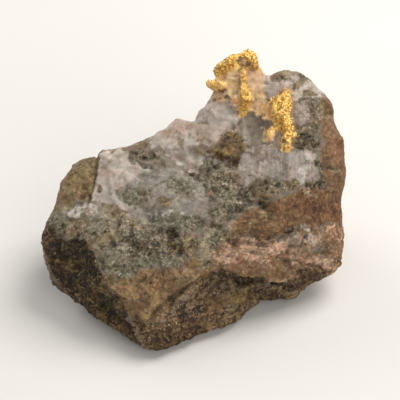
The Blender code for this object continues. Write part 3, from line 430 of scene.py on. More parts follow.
# How the skin of each mineral is broken: how much of the chips, and of the grains, it has.
BREAKAGE = {
    "sugary": (1.2, 1.0),
    "haze": (0.6, 0.45),
    "moss": (0.9, 0.8),
    "pepper": (1.3, 1.2),
    "milky": (0.65, 0.3),
    "chalk": (0.65, 0.3),
    "mottle": (0.7, 0.5),
    "lavender": (0.5, 0.25),
    "smoke": (0.4, 0.15),
    "ochre": (0.6, 0.4),
    "foot": (0.9, 0.9),
    "tan": (0.9, 0.7),
    "fleck": (1.0, 0.8),
    "ledge": (1.2, 0.5),
    "rust": (0.5, 0.2),
    "russet": (0.5, 0.2),
    "strip": (0.6, 0.2),
    "golden": (0.9, 0.6),
    "clay": (0.5, 0.3),
    "knot": (0.9, 0.4),
    "peach": (0.6, 0.3),
    "frost": (1.5, 0.8),
    "olive": (0.8, 0.5),
    "dark": (1.25, 0.9),
    "umber": (1.0, 0.8),
    "leaf": (1.2, 1.2),
}
BARE_BREAKAGE = (0.45, 0.3)  # of the clear grey quartz that is left between them
BREAKAGE_EDGE = 0.6  # mm on either side of a mineral's edge, over which its breakage comes in

# The layers of broken faces: mm across, and the tilt of the faces.
CHIPS = [(9.0, 0.09), (4.2, 0.13), (2.0, 0.17), (1.1, 0.18)]
CHIP_SALT, CHIP_SHARPNESS = 3, 5.0
GRAINS = [(1.3, 0.28), (0.75, 0.32)]
GRAIN_SALT, GRAIN_SHARPNESS = 40, 4.0
CELL_MARGIN, CELL_SPREAD = 0.05, 0.9  # where in its cell the middle of a broken face may lie
CELL_STEP = 0.6  # how much higher one broken face may stand than another, as a share of its size

# Cracks in the skin: their line on the sheet, half width and depth.
CRACKS = [
    ([(0.5, -17.8), (-2.7, -19.6), (-6.8, -22.3), (-9.5, -24.3), (-11.3, -27.2)], 0.45, 0.7),
    ([(6.5, -9.2), (10.4, -9.7), (14.6, -10.1), (18.5, -8.8), (22, -7.2)], 0.5, 0.6),
    ([(4.5, -16.4), (7.2, -16.8), (10, -18.2), (13.5, -18)], 0.7, 0.8),
    ([(20.3, -10.4), (22.5, -10.4), (24, -8.1), (25.2, -6.3)], 0.35, 0.7),
    ([(-7.9, 10.4), (-4.5, 9), (-1.4, 6.8), (1, 4.9)], 0.7, 0.35),
    ([(-16.2, -5.9), (-15.4, -9.5), (-14.2, -12)], 0.9, 0.3),
    ([(-7.0, -6.6), (-6.0, -8.5), (-4.2, -11.5)], 0.8, 0.4),
    ([(-23.2, 10.8), (-23.6, 5.4), (-24.4, 1.8), (-25.2, -0.5)], 0.35, 0.5),
    ([(-15.8, 9.2), (-13.5, 8.2), (-11, 7.4)], 0.3, 0.35),
    ([(9.9, -11.5), (15, -12.4), (20, -13.6), (27, -15)], 0.3, 0.3),
]

# mm above the underside: the skin stays as it is up to EVEN_FOOT, and is broken in full from the others.
EVEN_FOOT, CHIPPED_FROM, GRAINY_FROM = 0.2, 2.5, 1.5
SINK = 0.25  # mm by which the skin sinks under the edge of the gold
SINK_NEAR, SINK_FAR = 0.6, 1.1  # mm from the gold, where the skin sinks in full and not at all
FILLING = 0.42  # mm by which what fills a seat is larger than the gold
FAR = 6.0  # mm, beyond which it makes no difference how far a place is from a mineral or from the gold
BEYOND = 9.0  # mm, the distance given to all places that are farther than that from the gold
BATCHES = 40  # parts in which the distances from the gold are worked out, to save memory
HIDDEN, EXPOSED = -0.35, 0.1  # how far a face that counts as hidden, and as exposed, is turned to the eye
EVENING = 0.5  # strength of the smoothing of a fresh skin
SKIN_EVENINGS, GOLD_EVENINGS = 14, 3  # its passes
NORMAL_PASSES = 12  # passes that even the directions in which the chips stand
SKIN_HOLLOWS, GOLD_HOLLOWS = 24, 10  # passes that even a skin, to tell its hollows from its ridges

# ---------------------------------------------------------------- the gold

# Each mass of gold: how far it swells out of its seat, as a share of the settings' swell, and how much
# quartz dust is on it.
GOLD = {
    "gold_crest": (0.3, 0.15),
    "gold_nubbin": (0.2, 0.9),
    "gold_streak": (-1.6, 0.2),
    "gold_cluster": (0.0, 0.1),
    "gold_fleck": (-0.6, 0.95),
}
# The layers of leafy grains: how wide and how high they are, as shares of the leaf size, their salt and
# their sharpness.
LEAF_LAYERS = [(2.4, 0.5, 10, 3.0), (1.0, 0.7, 20, 4.0), (0.5, 0.4, 30, 4.0)]
# Dark grains in the gold, the second partly a painted shade between the two parts of the crest: their line on
# the sheet and half width, in mm.
INCLUSIONS_AND_SHADE = [([(18.8, 13.2), (19.4, 13.0)], 0.5), ([(8.9, 31.8), (9.7, 30.7), (10.8, 30.3)], 0.6)]

# ---------------------------------------------------------------- colours


def tone(red, green, blue):
    """A colour of 0 to 255 as light, for a shader."""
    return tuple((part / 255) ** 2.2 for part in (red, green, blue)) + (1.0,)


THREE_TONES = ["Light", "Middle", "Dark"]
SWINGS = ["Broad", "Middling", "Fine", "Grain", "Streak"]  # what swings a mineral between its tones

# light, middle and dark tone; how much they follow the broad, middling and fine mottling, the grains and
# the streaks; colour and share of the specks; how far the edge of a patch wanders, and how soft it is, in
# mm; share of the grains painted pale as glints of light; roughness
MINERALS = {
    "clear": (
        ((145, 136, 124), (123, 112, 101), (98, 92, 78)),
        (1.2, 0.9, 0.5, 0.2, 0), ((81, 77, 58), 0.06), (1, 0.6), 0.01, 0.5,
    ),
    "sugary": (
        ((159, 142, 126), (116, 107, 90), (81, 69, 51)),
        (0.9, 1.1, 0.9, 1.1, 0), ((63, 55, 37), 0.07), (1.8, 1.2), 0.07, 0.6,
    ),
    "haze": (
        ((166, 158, 155), (141, 135, 128), (119, 110, 105)),
        (0.9, 1, 0.6, 0.5, 0), ((109, 106, 89), 0.05), (1.6, 1.6), 0.02, 0.5,
    ),
    "moss": (
        ((142, 135, 120), (111, 107, 90), (82, 77, 59)),
        (0.8, 1, 0.9, 0.9, 0), ((69, 66, 43), 0.06), (1.6, 1), 0.05, 0.6,
    ),
    "pepper": (
        ((136, 125, 106), (98, 86, 69), (65, 59, 42)),
        (0.7, 1.1, 1.1, 1.1, 0), ((43, 38, 23), 0.1), (1.4, 0.9), 0.08, 0.6,
    ),
    "milky": (
        ((191, 180, 176), (171, 159, 153), (145, 131, 123)),
        (0.9, 0.8, 0.4, 0.2, 0), ((141, 124, 111), 0.02), (1, 0.6), 0.01, 0.45,
    ),
    "mottle": (
        ((150, 129, 105), (108, 94, 73), (63, 51, 34)),
        (0.5, 1.2, 0.7, 0.4, 0.9), ((44, 33, 17), 0.05), (1.2, 0.9), 0.05, 0.5,
    ),
    "lavender": (
        ((182, 173, 171), (148, 137, 131), (108, 95, 84)),
        (0.9, 0.9, 0.5, 0.3, 1.2), ((93, 86, 75), 0.02), (1.2, 1), 0.02, 0.45,
    ),
    "smoke": (
        ((148, 131, 115), (121, 110, 98), (99, 89, 80)),
        (0.6, 0.7, 0.5, 0.3, 0), ((85, 78, 69), 0.05), (1.2, 1.4), 0.01, 0.4,
    ),
    "chalk": (
        ((202, 193, 193), (181, 171, 167), (154, 143, 134)),
        (0.6, 0.6, 0.5, 0.25, 0), ((138, 123, 109), 0.02), (1, 0.7), 0.01, 0.45,
    ),
    "ochre": (
        ((146, 122, 93), (109, 88, 63), (72, 57, 35)),
        (1.1, 1.4, 1, 0.8, 0.9), ((159, 135, 105), 0.03), (1.4, 0.8), 0.01, 0.7,
    ),
    "foot": (
        ((143, 122, 95), (94, 76, 55), (50, 38, 24)),
        (1.1, 1.4, 1, 0.9, 0.5), ((157, 140, 113), 0.04), (1.4, 0.8), 0.02, 0.7,
    ),
    "tan": (
        ((162, 134, 108), (127, 100, 77), (95, 71, 49)),
        (0.8, 0.8, 0.6, 0.5, 1.4), ((183, 155, 122), 0.04), (1.4, 0.6), 0.03, 0.7,
    ),
    "fleck": (
        ((205, 170, 149), (171, 139, 119), (140, 112, 89)),
        (0.5, 0.7, 0.8, 0.7, 1.4), ((217, 183, 157), 0.06), (1.6, 1), 0.03, 0.65,
    ),
    "ledge": (
        ((206, 185, 172), (155, 132, 116), (97, 77, 59)),
        (0.8, 1.2, 0.6, 0.4, 0.3), ((86, 72, 54), 0.06), (1, 0.6), 0.02, 0.55,
    ),
    "rust": (
        ((152, 120, 84), (112, 84, 57), (70, 51, 30)),
        (0.9, 1, 0.8, 0.5, 1.3), ((59, 42, 21), 0.03), (1, 0.5), 0.01, 0.6,
    ),
    "russet": (
        ((144, 103, 69), (98, 67, 45), (55, 32, 19)),
        (0.9, 1, 0.8, 0.5, 1.3), ((138, 110, 77), 0.05), (1.2, 1.2), 0.01, 0.6,
    ),
    "strip": (
        ((144, 112, 85), (108, 81, 56), (76, 52, 36)),
        (1, 1, 0.8, 0.5, 1), ((151, 117, 87), 0.04), (1.2, 0.8), 0.01, 0.6,
    ),
    "golden": (
        ((164, 142, 110), (125, 106, 75), (87, 72, 47)),
        (0.6, 1.2, 0.6, 0.4, 0.2), ((76, 68, 41), 0.03), (0.5, 0.3), 0.01, 0.7,
    ),
    "clay": (
        ((156, 135, 104), (123, 102, 75), (89, 71, 50)),
        (0.9, 0.9, 0.8, 0.5, 0.5), ((84, 71, 49), 0.04), (1, 0.8), 0.01, 0.7,
    ),
    "pinkish": (
        ((137, 111, 84), (113, 88, 65), (91, 70, 49)),
        (0.8, 0.9, 0.8, 0.5, 0.9), ((98, 76, 51), 0.03), (1.2, 1), 0.01, 0.7,
    ),
    "orange": (
        ((176, 144, 115), (145, 120, 87), (111, 90, 61)),
        (0.8, 1, 0.8, 0.6, 0.6), ((182, 150, 108), 0.03), (1.2, 1.2), 0.01, 0.7,
    ),
    "knot": (
        ((173, 146, 97), (107, 85, 53), (46, 29, 11)),
        (0.6, 1.3, 0.5, 0.2, 0.3), ((17, 12, 4), 0.04), (0.8, 0.7), 0.01, 0.6,
    ),
    "peach": (
        ((227, 196, 171), (209, 172, 135), (179, 138, 101)),
        (0.8, 0.8, 0.5, 0.3, 0.3), ((191, 142, 98), 0.02), (1, 0.9), 0.01, 0.45,
    ),
    "amber": (
        ((247, 234, 199), (247, 209, 160), (241, 171, 111)),
        (0.8, 1, 0.6, 0.3, 0.2), ((242, 161, 99), 0.04), (1.2, 1), 0.02, 0.45,
    ),
    "frost": (
        ((217, 208, 204), (179, 170, 163), (147, 135, 126)),
        (0.6, 1, 0.5, 0.3, 0), ((147, 134, 121), 0.02), (0.8, 0.5), 0.03, 0.4,
    ),
    "olive": (
        ((169, 155, 127), (125, 108, 85), (74, 64, 43)),
        (0.6, 1, 0.7, 0.5, 0), ((58, 51, 28), 0.05), (0.9, 0.6), 0.02, 0.6,
    ),
    "cream": (
        ((172, 163, 138), (144, 131, 110), (115, 107, 83)),
        (0.5, 0.9, 0.6, 0.5, 0), ((109, 99, 72), 0.03), (1, 0.6), 0.05, 0.55,
    ),
    "coral": (
        ((184, 142, 124), (166, 118, 100), (140, 100, 84)),
        (0.5, 0.8, 0.6, 0.5, 0), ((180, 150, 132), 0.04), (1.2, 0.6), 0.01, 0.6,
    ),
    "dark": (
        ((117, 102, 67), (60, 46, 14), (19, 12, 4)),
        (1.3, 1.3, 0.9, 0.8, 0.6), ((126, 108, 69), 0.05), (0.7, 0.3), 0.01, 0.6,
    ),
    "umber": (
        ((114, 94, 64), (71, 48, 23), (29, 17, 6)),
        (0.9, 1.2, 0.9, 0.8, 0.5), ((134, 115, 82), 0.05), (1.2, 0.8), 0.02, 0.65,
    ),
}

# A noise is given as its size in mm, its detail and its roughness.
MOTTLING = {"Broad": (9.0, 3.0, 0.55), "Middling": (2.6, 4.0, 0.6), "Fine": (0.8, 4.0, 0.6)}
SPECKLING = [((0.9, 4.0, 0.75), 1.2), ((5.0, 2.0, 0.55), 0.5)]  # the noises that strew specks, their shares
WANDERING = (1.6, 4.0, 0.7)  # the noise along which the edges of the patches wander
WARP_SIZE, WARP_REACH = 2.5, 0.7  # mm, of the noise that warps all patterns
SMALL_GRAIN = 0.6  # size of the smaller crystal grains, as a share of that of the others
STREAKINESS = (1.0, 3.0, 0.6)  # the noise that is drawn out into streaks

# How the streaks of a mineral run: their turn about each axis in radians, and their sizes in mm.
STREAKS = {
    "other": ((0.0, -0.2, 0.0), (5.0, 0.8, 0.8)),
    "lavender": ((0.0, 0.0, 0.0), (0.38, 5.0, 5.0)),
    "mottle": ((0.0, 0.1, 0.0), (0.6, 3.0, 3.0)),
    "tan": ((0.0, 0.32, 0.0), (5.0, 0.8, 0.8)),
    "fleck": ((0.0, 0.32, 0.0), (3.0, 0.5, 0.5)),
}

WHITE = (1.0, 1.0, 1.0, 1.0)
COOL, WARM = (0.96, 1.0, 0.99, 1.0), (1.05, 1.0, 0.94, 1.0)
MOSSY, ROSY = (0.98, 1.01, 0.94, 1.0), (1.03, 0.985, 0.98, 1.0)
RUSTY = tone(206, 168, 124)
# Tints over all minerals: their noise, the levels between which it turns from one tint to the other, the
# two tints, and how strong they are.
TINTS = [
    ((5.0, 3.0, 0.55), (0.36, 0.64), (COOL, WARM), 1.0),
    ((1.7, 4.0, 0.65), (0.38, 0.62), (MOSSY, ROSY), 1.0),
    ((7.0, 4.0, 0.6), (0.48, 0.7), (WHITE, RUSTY), 0.5),
]
HOLLOW_SHADE_TONE, HOLLOW_SHADE_SHARE = tone(92, 86, 74), 0.55  # painted shade darkening the hollows
STAIN_TONE, STAIN_SHARE = tone(236, 172, 110), 0.22  # the stain round the gold
STAIN_FULL = 0.2  # mm from the gold, up to which the stain is full
# Painted glints: the pale tone that stands in for light glinting off quartz grains, and how strong it is.
PAINTED_GLINT_TONE, PAINTED_GLINT_SHARE = tone(214, 206, 186), 0.42

LEAF_TEXTURE = 0.32  # mm across the finest leaves of the gold
GOLD_BRIGHT, GOLD_MIDDLE, GOLD_DEEP = tone(246, 224, 152), tone(235, 189, 102), tone(172, 119, 56)
THIN_GOLD = (tone(250, 228, 152), tone(246, 192, 102), tone(188, 130, 60))  # bright, middle and deep
DUST_TONE, DUST_SHARE = tone(240, 204, 130), 0.85
# The dark grains in the gold, and painted shade on the crest.
INCLUSION_AND_SHADE_TONE = tone(72, 56, 36)

# ---------------------------------------------------------------- the stage

# Each light: where it is and how long its sides are, in m.
LIGHTS = {
    "Key": ((0.20, 0.13, 0.38), 0.30),
    "Fill": ((0.20, -0.38, 0.26), 0.40),
    "Rim": ((-0.30, 0.28, 0.26), 0.30),
}
LIGHT_COLOUR = (1.0, 0.97, 0.93)
STUDIO_GREY = (0.36, 0.36, 0.36, 1.0)
PAPER_TONES, PAPER_MOTTLE = (tone(205, 203, 199), tone(211, 209, 206)), 90.0  # mm across the mottle
SENSOR = 36.0  # mm, width of the camera's sensor
NEAREST = 0.01  # m, the nearest that the camera sees

# ---------------------------------------------------------------- help with meshes


def alone(obj):
    """Selects this object and nothing else."""
    bpy.ops.object.select_all(action="DESELECT")
    obj.select_set(True)
    bpy.context.view_layer.objects.active = obj


def copy_of(node, name):
    """A copy of a CAD node as an object of its own, with its loose triangles merged."""
    made = bpy.data.objects.new(name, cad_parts[node].data.copy())
    bpy.context.scene.collection.objects.link(made)
    made.data.materials.clear()
    alone(made)
    bpy.ops.object.mode_set(mode="EDIT")
    bpy.ops.mesh.select_all(action="SELECT")
    bpy.ops.mesh.remove_doubles(threshold=1e-6)
    bpy.ops.object.mode_set(mode="OBJECT")
    return made


def modify(obj, kind, **settings):
    """Adds a modifier to the object and applies it."""
    alone(obj)
    made = obj.modifiers.new(kind.title(), kind)
    for name, value in settings.items():
        setattr(made, name, value)
    bpy.ops.object.modifier_apply(modifier=made.name)


def remake(obj, voxel, passes):
    """Gives the object one even skin of small faces."""
    modify(obj, "REMESH", mode="VOXEL", voxel_size=voxel)
    modify(obj, "SMOOTH", factor=EVENING, iterations=passes)


def dress(obj, material):
    """Shades the object smooth and gives it its material."""
    alone(obj)
    bpy.ops.object.shade_smooth()
    obj.data.materials.append(material)


def numbers_of(items, name, width, kind):
    """A property of all vertices or edges of a mesh, as one row for each."""
    flat = np.empty(len(items) * width, kind)
    items.foreach_get(name, flat)
    return flat.reshape(-1, width)


def places_of(obj):
    """The places of the object's vertices, in mm."""
    return numbers_of(obj.data.vertices, "co", 3, np.float32).astype(float) / MM


def normals_of(obj):
    return numbers_of(obj.data.vertices, "normal", 3, np.float32).astype(float)


def edges_of(obj):
    return numbers_of(obj.data.edges, "vertices", 2, np.int32)


def put_places(obj, places):
    obj.data.vertices.foreach_set("co", (places * MM).astype(np.float32).ravel())
    obj.data.update()


def keep_value(obj, name, values):
    """Keeps a number for each vertex, which a material can read by name."""
    kept = obj.data.attributes.new(name, "FLOAT", "POINT")
    kept.data.foreach_set("value", values.astype(np.float32))


def keep_hollows(obj, edges, passes):
    """Keeps how far each vertex stands out of its surroundings, in mm."""
    places = places_of(obj)
    away = places - evened(places, edges, passes)
    keep_value(obj, "hollow", (away * normals_of(obj)).sum(axis=1))


def unit(vectors):
    return vectors / np.linalg.norm(vectors, axis=1)[:, None]


def evened(values, edges, passes):
    """Values of the vertices, each mixed with its neighbours' a number of times."""
    count = len(values)
    ends, others = edges.T
    met = np.bincount(edges.ravel(), minlength=count)[:, None]
    for _ in range(passes):
        summed = [
            np.bincount(ends, column[others], count) + np.bincount(others, column[ends], count)
            for column in values.T
        ]
        values = 0.5 * values + 0.5 * np.stack(summed, axis=1) / met
    return values


def eased(values, low, high):
    """0 below low, 1 above high, and smooth between."""
    share = np.clip((values - low) / (high - low), 0.0, 1.0)
    return share * share * (3.0 - 2.0 * share)


def scattered(cells, salt):
    """Six numbers from 0 to 1 for each cell of a grid, which are always the same for that cell and salt."""
    cells = cells.astype(np.int64)
    mixed = cells[:, 0] * 73856093 ^ cells[:, 1] * 19349663 ^ cells[:, 2] * 83492791 ^ salt * 2654435761
    numbers = []
    for turn in range(6):
        mixed = (mixed ^ (mixed >> 15)) * 2246822519 + turn * 374761393 & 0xFFFFFFFF
        mixed = (mixed ^ (mixed >> 13)) * 3266489917 & 0xFFFFFFFF
        numbers.append(((mixed >> 7) & 0xFFFFF) / 0xFFFFF)
    return np.stack(numbers, axis=1)


def chipped(places, size, salt, sharpness):
    """The height of broken faces of that size at each place, about from -1 to 1.

    Each cell of a loose grid is a plane with a tilt of its own. Near the edge of a cell the height goes
    to 0, the sooner the lower the sharpness.
    """
    scaled = places / size
    home = np.floor(scaled)
    nearest = np.full(len(places), np.inf)
    second = np.full(len(places), np.inf)
    height = np.zeros(len(places))
    for step in np.ndindex(3, 3, 3):
        cell = home + np.array(step) - 1
        random = scattered(cell, salt)
        away = scaled - (cell + CELL_MARGIN + CELL_SPREAD * random[:, :3])
        distance = np.linalg.norm(away, axis=1)
        plane = (away * (2.0 * random[:, 3:] - 1.0)).sum(axis=1) + (random[:, 5] - 0.5) * CELL_STEP
        closer = distance < nearest
        second = np.where(closer, nearest, np.minimum(second, distance))
        nearest = np.where(closer, distance, nearest)
        height = np.where(closer, plane, height)
    return height * eased((second - nearest) * sharpness, 0.0, 1.0)


def broken(places, layers, salt, sharpness):
    """The height of some layers of broken faces, in mm."""
    height = np.zeros(len(places))
    for turn, (size, tilt) in enumerate(layers):
        height += size * tilt * chipped(places, size, turn + salt, sharpness)
    return height


# ---------------------------------------------------------------- the minerals' places


def on_sheet(places):
    """Where places show on the sheet."""
    seen = places - EYE
    depth = seen @ AHEAD
    return np.stack([seen @ ACROSS, seen @ UP], axis=1) * (EYE_DISTANCE / depth)[:, None]


def from_run(spots, start, end):
    """Distance of spots from a straight run."""
    run = np.array(end, float) - np.array(start, float)
    along = np.clip((spots - np.array(start)) @ run / (run @ run), 0.0, 1.0)
    return np.linalg.norm(spots - np.array(start) - along[:, None] * run, axis=1)


def inside_patch(spots, outline):
    """How far spots are inside an outline, in mm, and below 0 outside it."""
    distance = np.full(len(spots), np.inf)
    within = np.zeros(len(spots), bool)
    for (x1, y1), (x2, y2) in zip(outline, outline[1:] + outline[:1]):
        distance = np.minimum(distance, from_run(spots, (x1, y1), (x2, y2)))
        crosses = (y1 > spots[:, 1]) != (y2 > spots[:, 1])
        rise = y2 - y1 if y2 != y1 else 1e-9
        within ^= crosses & (spots[:, 0] < (x2 - x1) * (spots[:, 1] - y1) / rise + x1)
    return np.where(within, distance, -distance)


def inside_stroke(spots, line, half_width):
    return half_width - np.min([from_run(spots, *ends) for ends in zip(line, line[1:])], axis=0)


def inside_lump(places, middle, radii):
    away = np.linalg.norm((places - np.array(middle)) / np.array(radii), axis=1)
    return (1.0 - away) * min(radii)


def inside_inclusions_and_shade(places):
    """How far each place is inside the dark grains of the gold and the painted shade on its crest, in mm."""
    return np.max([inside_stroke(on_sheet(places), *run) for run in INCLUSIONS_AND_SHADE], axis=0)


def inside_minerals(places, facing):
    """How far each place is inside each mineral, in mm, by how far it is turned to the eye."""
    spots = on_sheet(places)
    exposed = eased(facing, HIDDEN, EXPOSED)
    found = {}
    for mineral in [*MINERALS, "leaf"]:
        front = np.full(len(places), -FAR)
        back = np.full(len(places), -FAR)
        for outline in PATCHES.get(mineral, []):
            front = np.maximum(front, inside_patch(spots, outline))
        for line, half_width in STROKES.get(mineral, []):
            front = np.maximum(front, inside_stroke(spots, line, half_width))
        for middle, radii in LUMPS.get(mineral, []):
            back = np.maximum(back, inside_lump(places, middle, radii))
        found[mineral] = np.clip(front * exposed + back * (1.0 - exposed), -FAR, FAR)
    return found


def breakage_of(inside, count):
    """How much of the chips, and of the grains, each vertex has."""
    chips = np.full(count, BARE_BREAKAGE[0])
    grains = np.full(count, BARE_BREAKAGE[1])
    for mineral, (more_chips, more_grains) in BREAKAGE.items():
        share = eased(inside[mineral], -BREAKAGE_EDGE, BREAKAGE_EDGE)
        chips += (more_chips - chips) * share
        grains += (more_grains - grains) * share
    return chips, grains


def distance_from_gold(places):
    """The distance of each place from the gold, in mm."""
    gold = np.concatenate([places_of(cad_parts[node]) for node in GOLD])
    distance = np.full(len(places), BEYOND)
    low, high = gold.min(axis=0) - FAR, gold.max(axis=0) + FAR
    near = np.flatnonzero(((places > low) & (places < high)).all(axis=1))
    for few in np.array_split(near, BATCHES):
        apart = places[few][:, None, :] - gold[None, :, :]
        distance[few] = np.sqrt((apart**2).sum(axis=2).min(axis=1))
    return distance


# ---------------------------------------------------------------- help with materials


class Sheet:
    """A shader node tree that is written line by line. put() adds a node and gives one of its outputs."""

    def __init__(self, tree):
        self.tree = tree

    def lead(self, value, socket):
        """Leads a node's output to a socket, or sets the socket to a plain value."""
        if isinstance(value, bpy.types.NodeSocket):
            self.tree.links.new(value, socket)
        else:
            socket.default_value = value

    def node(self, kind, inputs, **settings):
        made = self.tree.nodes.new(kind)
        for name, value in settings.items():
            setattr(made, name, value)
        for name, value in inputs.items():
            self.lead(value, made.inputs[name])
        return made

    def put(self, kind, inputs, out=0, **settings):
        return self.node(kind, inputs, **settings).outputs[out]

    def group(self, tree, inputs):
        return self.node("ShaderNodeGroup", inputs, node_tree=tree).outputs

    def calc(self, operation, a, b=0.0, clamp=False):
        return self.put("ShaderNodeMath", {0: a, 1: b}, operation=operation, use_clamp=clamp)

    def vector(self, operation, a, b, out=0):
        return self.put("ShaderNodeVectorMath", {0: a, 1: b}, out=out, operation=operation)

    def scaled(self, vector, factor):
        return self.put("ShaderNodeVectorMath", {0: vector, "Scale": factor}, operation="SCALE")

    def ramp(self, value, low, high):
        """0 below low, 1 above high, and smooth between."""
        ends = {"Value": value, "From Min": low, "From Max": high}
        return self.put("ShaderNodeMapRange", ends, interpolation_type="SMOOTHSTEP")

    def between(self, share, a, b):
        return self.put("ShaderNodeMix", {0: share, 2: a, 3: b}, data_type="FLOAT")

    def blend(self, share, a, b, how="MIX"):
        return self.put("ShaderNodeMix", {0: share, 6: a, 7: b}, out=2, data_type="RGBA", blend_type=how)

    def value(self, name):
        """A number that the piece's vertices keep."""
        return self.put("ShaderNodeAttribute", {}, out="Fac", attribute_name=name)

    def noise(self, vector, size, detail=3.0, roughness=0.55, out="Fac"):
        inputs = {"Vector": vector, "Scale": 1.0 / size, "Detail": detail, "Roughness": roughness}
        return self.put("ShaderNodeTexNoise", inputs, out=out)

    def streaks(self, vector, turn, sizes):
        """A noise drawn out along the axes, after a turn."""
        inputs = {"Vector": vector, "Rotation": turn, "Scale": sizes}
        return self.noise(self.put("ShaderNodeMapping", inputs, vector_type="TEXTURE"), *STREAKINESS)


def new_group(name, inputs, outputs):
    """A node group with named inputs and outputs: (group, its sheet, its given values, what it gives out)."""
    group = bpy.data.node_groups.new(name, "ShaderNodeTree")
    for label, kind in inputs.items():
        group.interface.new_socket(label, in_out="INPUT", socket_type="NodeSocket" + kind)
    for label, kind in outputs.items():
        group.interface.new_socket(label, in_out="OUTPUT", socket_type="NodeSocket" + kind)
    given = group.nodes.new("NodeGroupInput").outputs
    return group, Sheet(group), given, group.nodes.new("NodeGroupOutput").inputs


def make_tone_group():
    """Mixes a mineral's three tones by the mottling and the grains, strews specks over it, and paints some
    grains pale as glints of light.
    """
    floats = [*SWINGS, "Speck", "Glint"]
    shares = [name + " Share" for name in floats]
    colours = [*THREE_TONES, "Speck Colour"]
    inputs = {name: "Float" for name in floats + shares} | {name: "Color" for name in colours}
    group, sheet, given, out = new_group("Mineral Tone", inputs, {"Color": "Color"})
    level = 0.5
    for name in SWINGS:
        swing = sheet.calc("MULTIPLY", sheet.calc("SUBTRACT", given[name], 0.5), given[name + " Share"])
        level = sheet.calc("ADD", level, swing)
    lower = sheet.calc("MULTIPLY", level, 2.0, clamp=True)
    upper = sheet.calc("SUBTRACT", sheet.calc("MULTIPLY", level, 2.0), 1.0, clamp=True)
    colour = sheet.blend(lower, given["Dark"], given["Middle"])
    colour = sheet.blend(upper, colour, given["Light"])
    edge = sheet.calc("SUBTRACT", 1.0, given["Speck Share"])
    strewn = sheet.ramp(given["Speck"], edge, sheet.calc("ADD", edge, 0.06))
    colour = sheet.blend(strewn, colour, given["Speck Colour"])
    # Painted highlight: a share of the small grains is turned pale, as glints of light off the quartz.
    edge = sheet.calc("SUBTRACT", 1.0, given["Glint Share"])
    painted_glinting = sheet.ramp(given["Glint"], edge, sheet.calc("ADD", edge, 0.01))
    colour = sheet.blend(sheet.calc("MULTIPLY", painted_glinting, PAINTED_GLINT_SHARE), colour, PAINTED_GLINT_TONE)
    sheet.lead(colour, out["Color"])
    return group


def make_edge_group():
    """The ragged edge of a patch: 1 inside it and 0 outside."""
    inputs = {name: "Float" for name in ["Inside", "Wander", "Ragged", "Softness"]}
    group, sheet, given, out = new_group("Patch Edge", inputs, {"Mask": "Float"})
    swing = sheet.calc("MULTIPLY", sheet.calc("SUBTRACT", given["Wander"], 0.5), given["Ragged"])
    reach = sheet.calc("ADD", given["Inside"], sheet.calc("MULTIPLY", swing, 4.0))
    low = sheet.calc("MULTIPLY", given["Softness"], -0.5)
    high = sheet.calc("MULTIPLY", given["Softness"], 0.5)
    sheet.lead(sheet.ramp(reach, low, high), out["Mask"])
    return group


def make_grain_group():
    """Crystal grains: a number for each grain, and the height of its tilted facet."""
    inputs, outputs = {"Vector": "Vector", "Size": "Float"}, {"Number": "Float", "Facet": "Float"}
    group, sheet, given, out = new_group("Crystal Grain", inputs, outputs)
    scale = sheet.calc("DIVIDE", 1.0, given["Size"])
    cell = sheet.node("ShaderNodeTexVoronoi", {"Vector": given["Vector"], "Scale": scale}).outputs
    number = sheet.put("ShaderNodeSeparateColor", {"Color": cell["Color"]}, out="Red")
    away = sheet.vector("SUBTRACT", given["Vector"], cell["Position"])
    tilt = sheet.vector("SUBTRACT", cell["Color"], (0.5, 0.5, 0.5))
    facet = sheet.vector("DOT_PRODUCT", away, tilt, out="Value")
    sheet.lead(number, out["Number"])
    sheet.lead(sheet.calc("DIVIDE", facet, given["Size"]), out["Facet"])
    return group


def make_gold_group():
    """The finish of leafy gold: bright leaves with deep gold torn between them."""
    inputs = {"Vector": "Vector", "Size": "Float", "Bright": "Color", "Middle": "Color", "Deep": "Color"}
    outputs = {"Color": "Color", "Height": "Float", "Torn": "Float"}
    group, sheet, given, out = new_group("Leafy Gold", inputs, outputs)
    scale = sheet.calc("DIVIDE", 1.0, given["Size"])
    leaf = {"Vector": given["Vector"], "Scale": scale}
    leaf = sheet.put("ShaderNodeTexVoronoi", leaf, out="Distance")
    torn = {"Vector": given["Vector"], "Scale": sheet.calc("MULTIPLY", scale, 0.6)}
    torn = sheet.put("ShaderNodeTexNoise", torn | {"Detail": 3.0, "Roughness": 0.7})
    colour = sheet.blend(sheet.ramp(leaf, 0.25, 0.7), given["Bright"], given["Middle"])
    sheet.lead(sheet.blend(sheet.ramp(torn, 0.36, 0.56), given["Deep"], colour), out["Color"])
    sheet.lead(sheet.calc("ADD", leaf, torn), out["Height"])
    sheet.lead(torn, out["Torn"])
    return group


def leafy_gold(sheet, place, tones):
    """The outputs of the finish of leafy gold, in a bright, a middle and a deep tone."""
    tree = bpy.data.node_groups.get("Leafy Gold") or make_gold_group()
    tones = dict(zip(["Bright", "Middle", "Deep"], tones))
    return sheet.group(tree, {"Vector": place, "Size": LEAF_TEXTURE} | tones)


def new_material(name):
    """A material and what it is written on: (material, sheet, Principled inputs, place in mm)."""
    material = bpy.data.materials.new(name)
    material.use_nodes = True
    sheet = Sheet(material.node_tree)
    place = sheet.scaled(sheet.put("ShaderNodeTexCoord", {}, out="Object"), 1.0 / MM)
    return material, sheet, material.node_tree.nodes["Principled BSDF"].inputs, place


def warped(sheet, place):
    """The place, moved about by a soft noise."""
    moved = sheet.noise(place, WARP_SIZE, 2.0, out="Color")
    moved = sheet.scaled(sheet.vector("SUBTRACT", moved, (0.5, 0.5, 0.5)), WARP_REACH)
    return sheet.vector("ADD", place, moved)


# ---------------------------------------------------------------- the materials


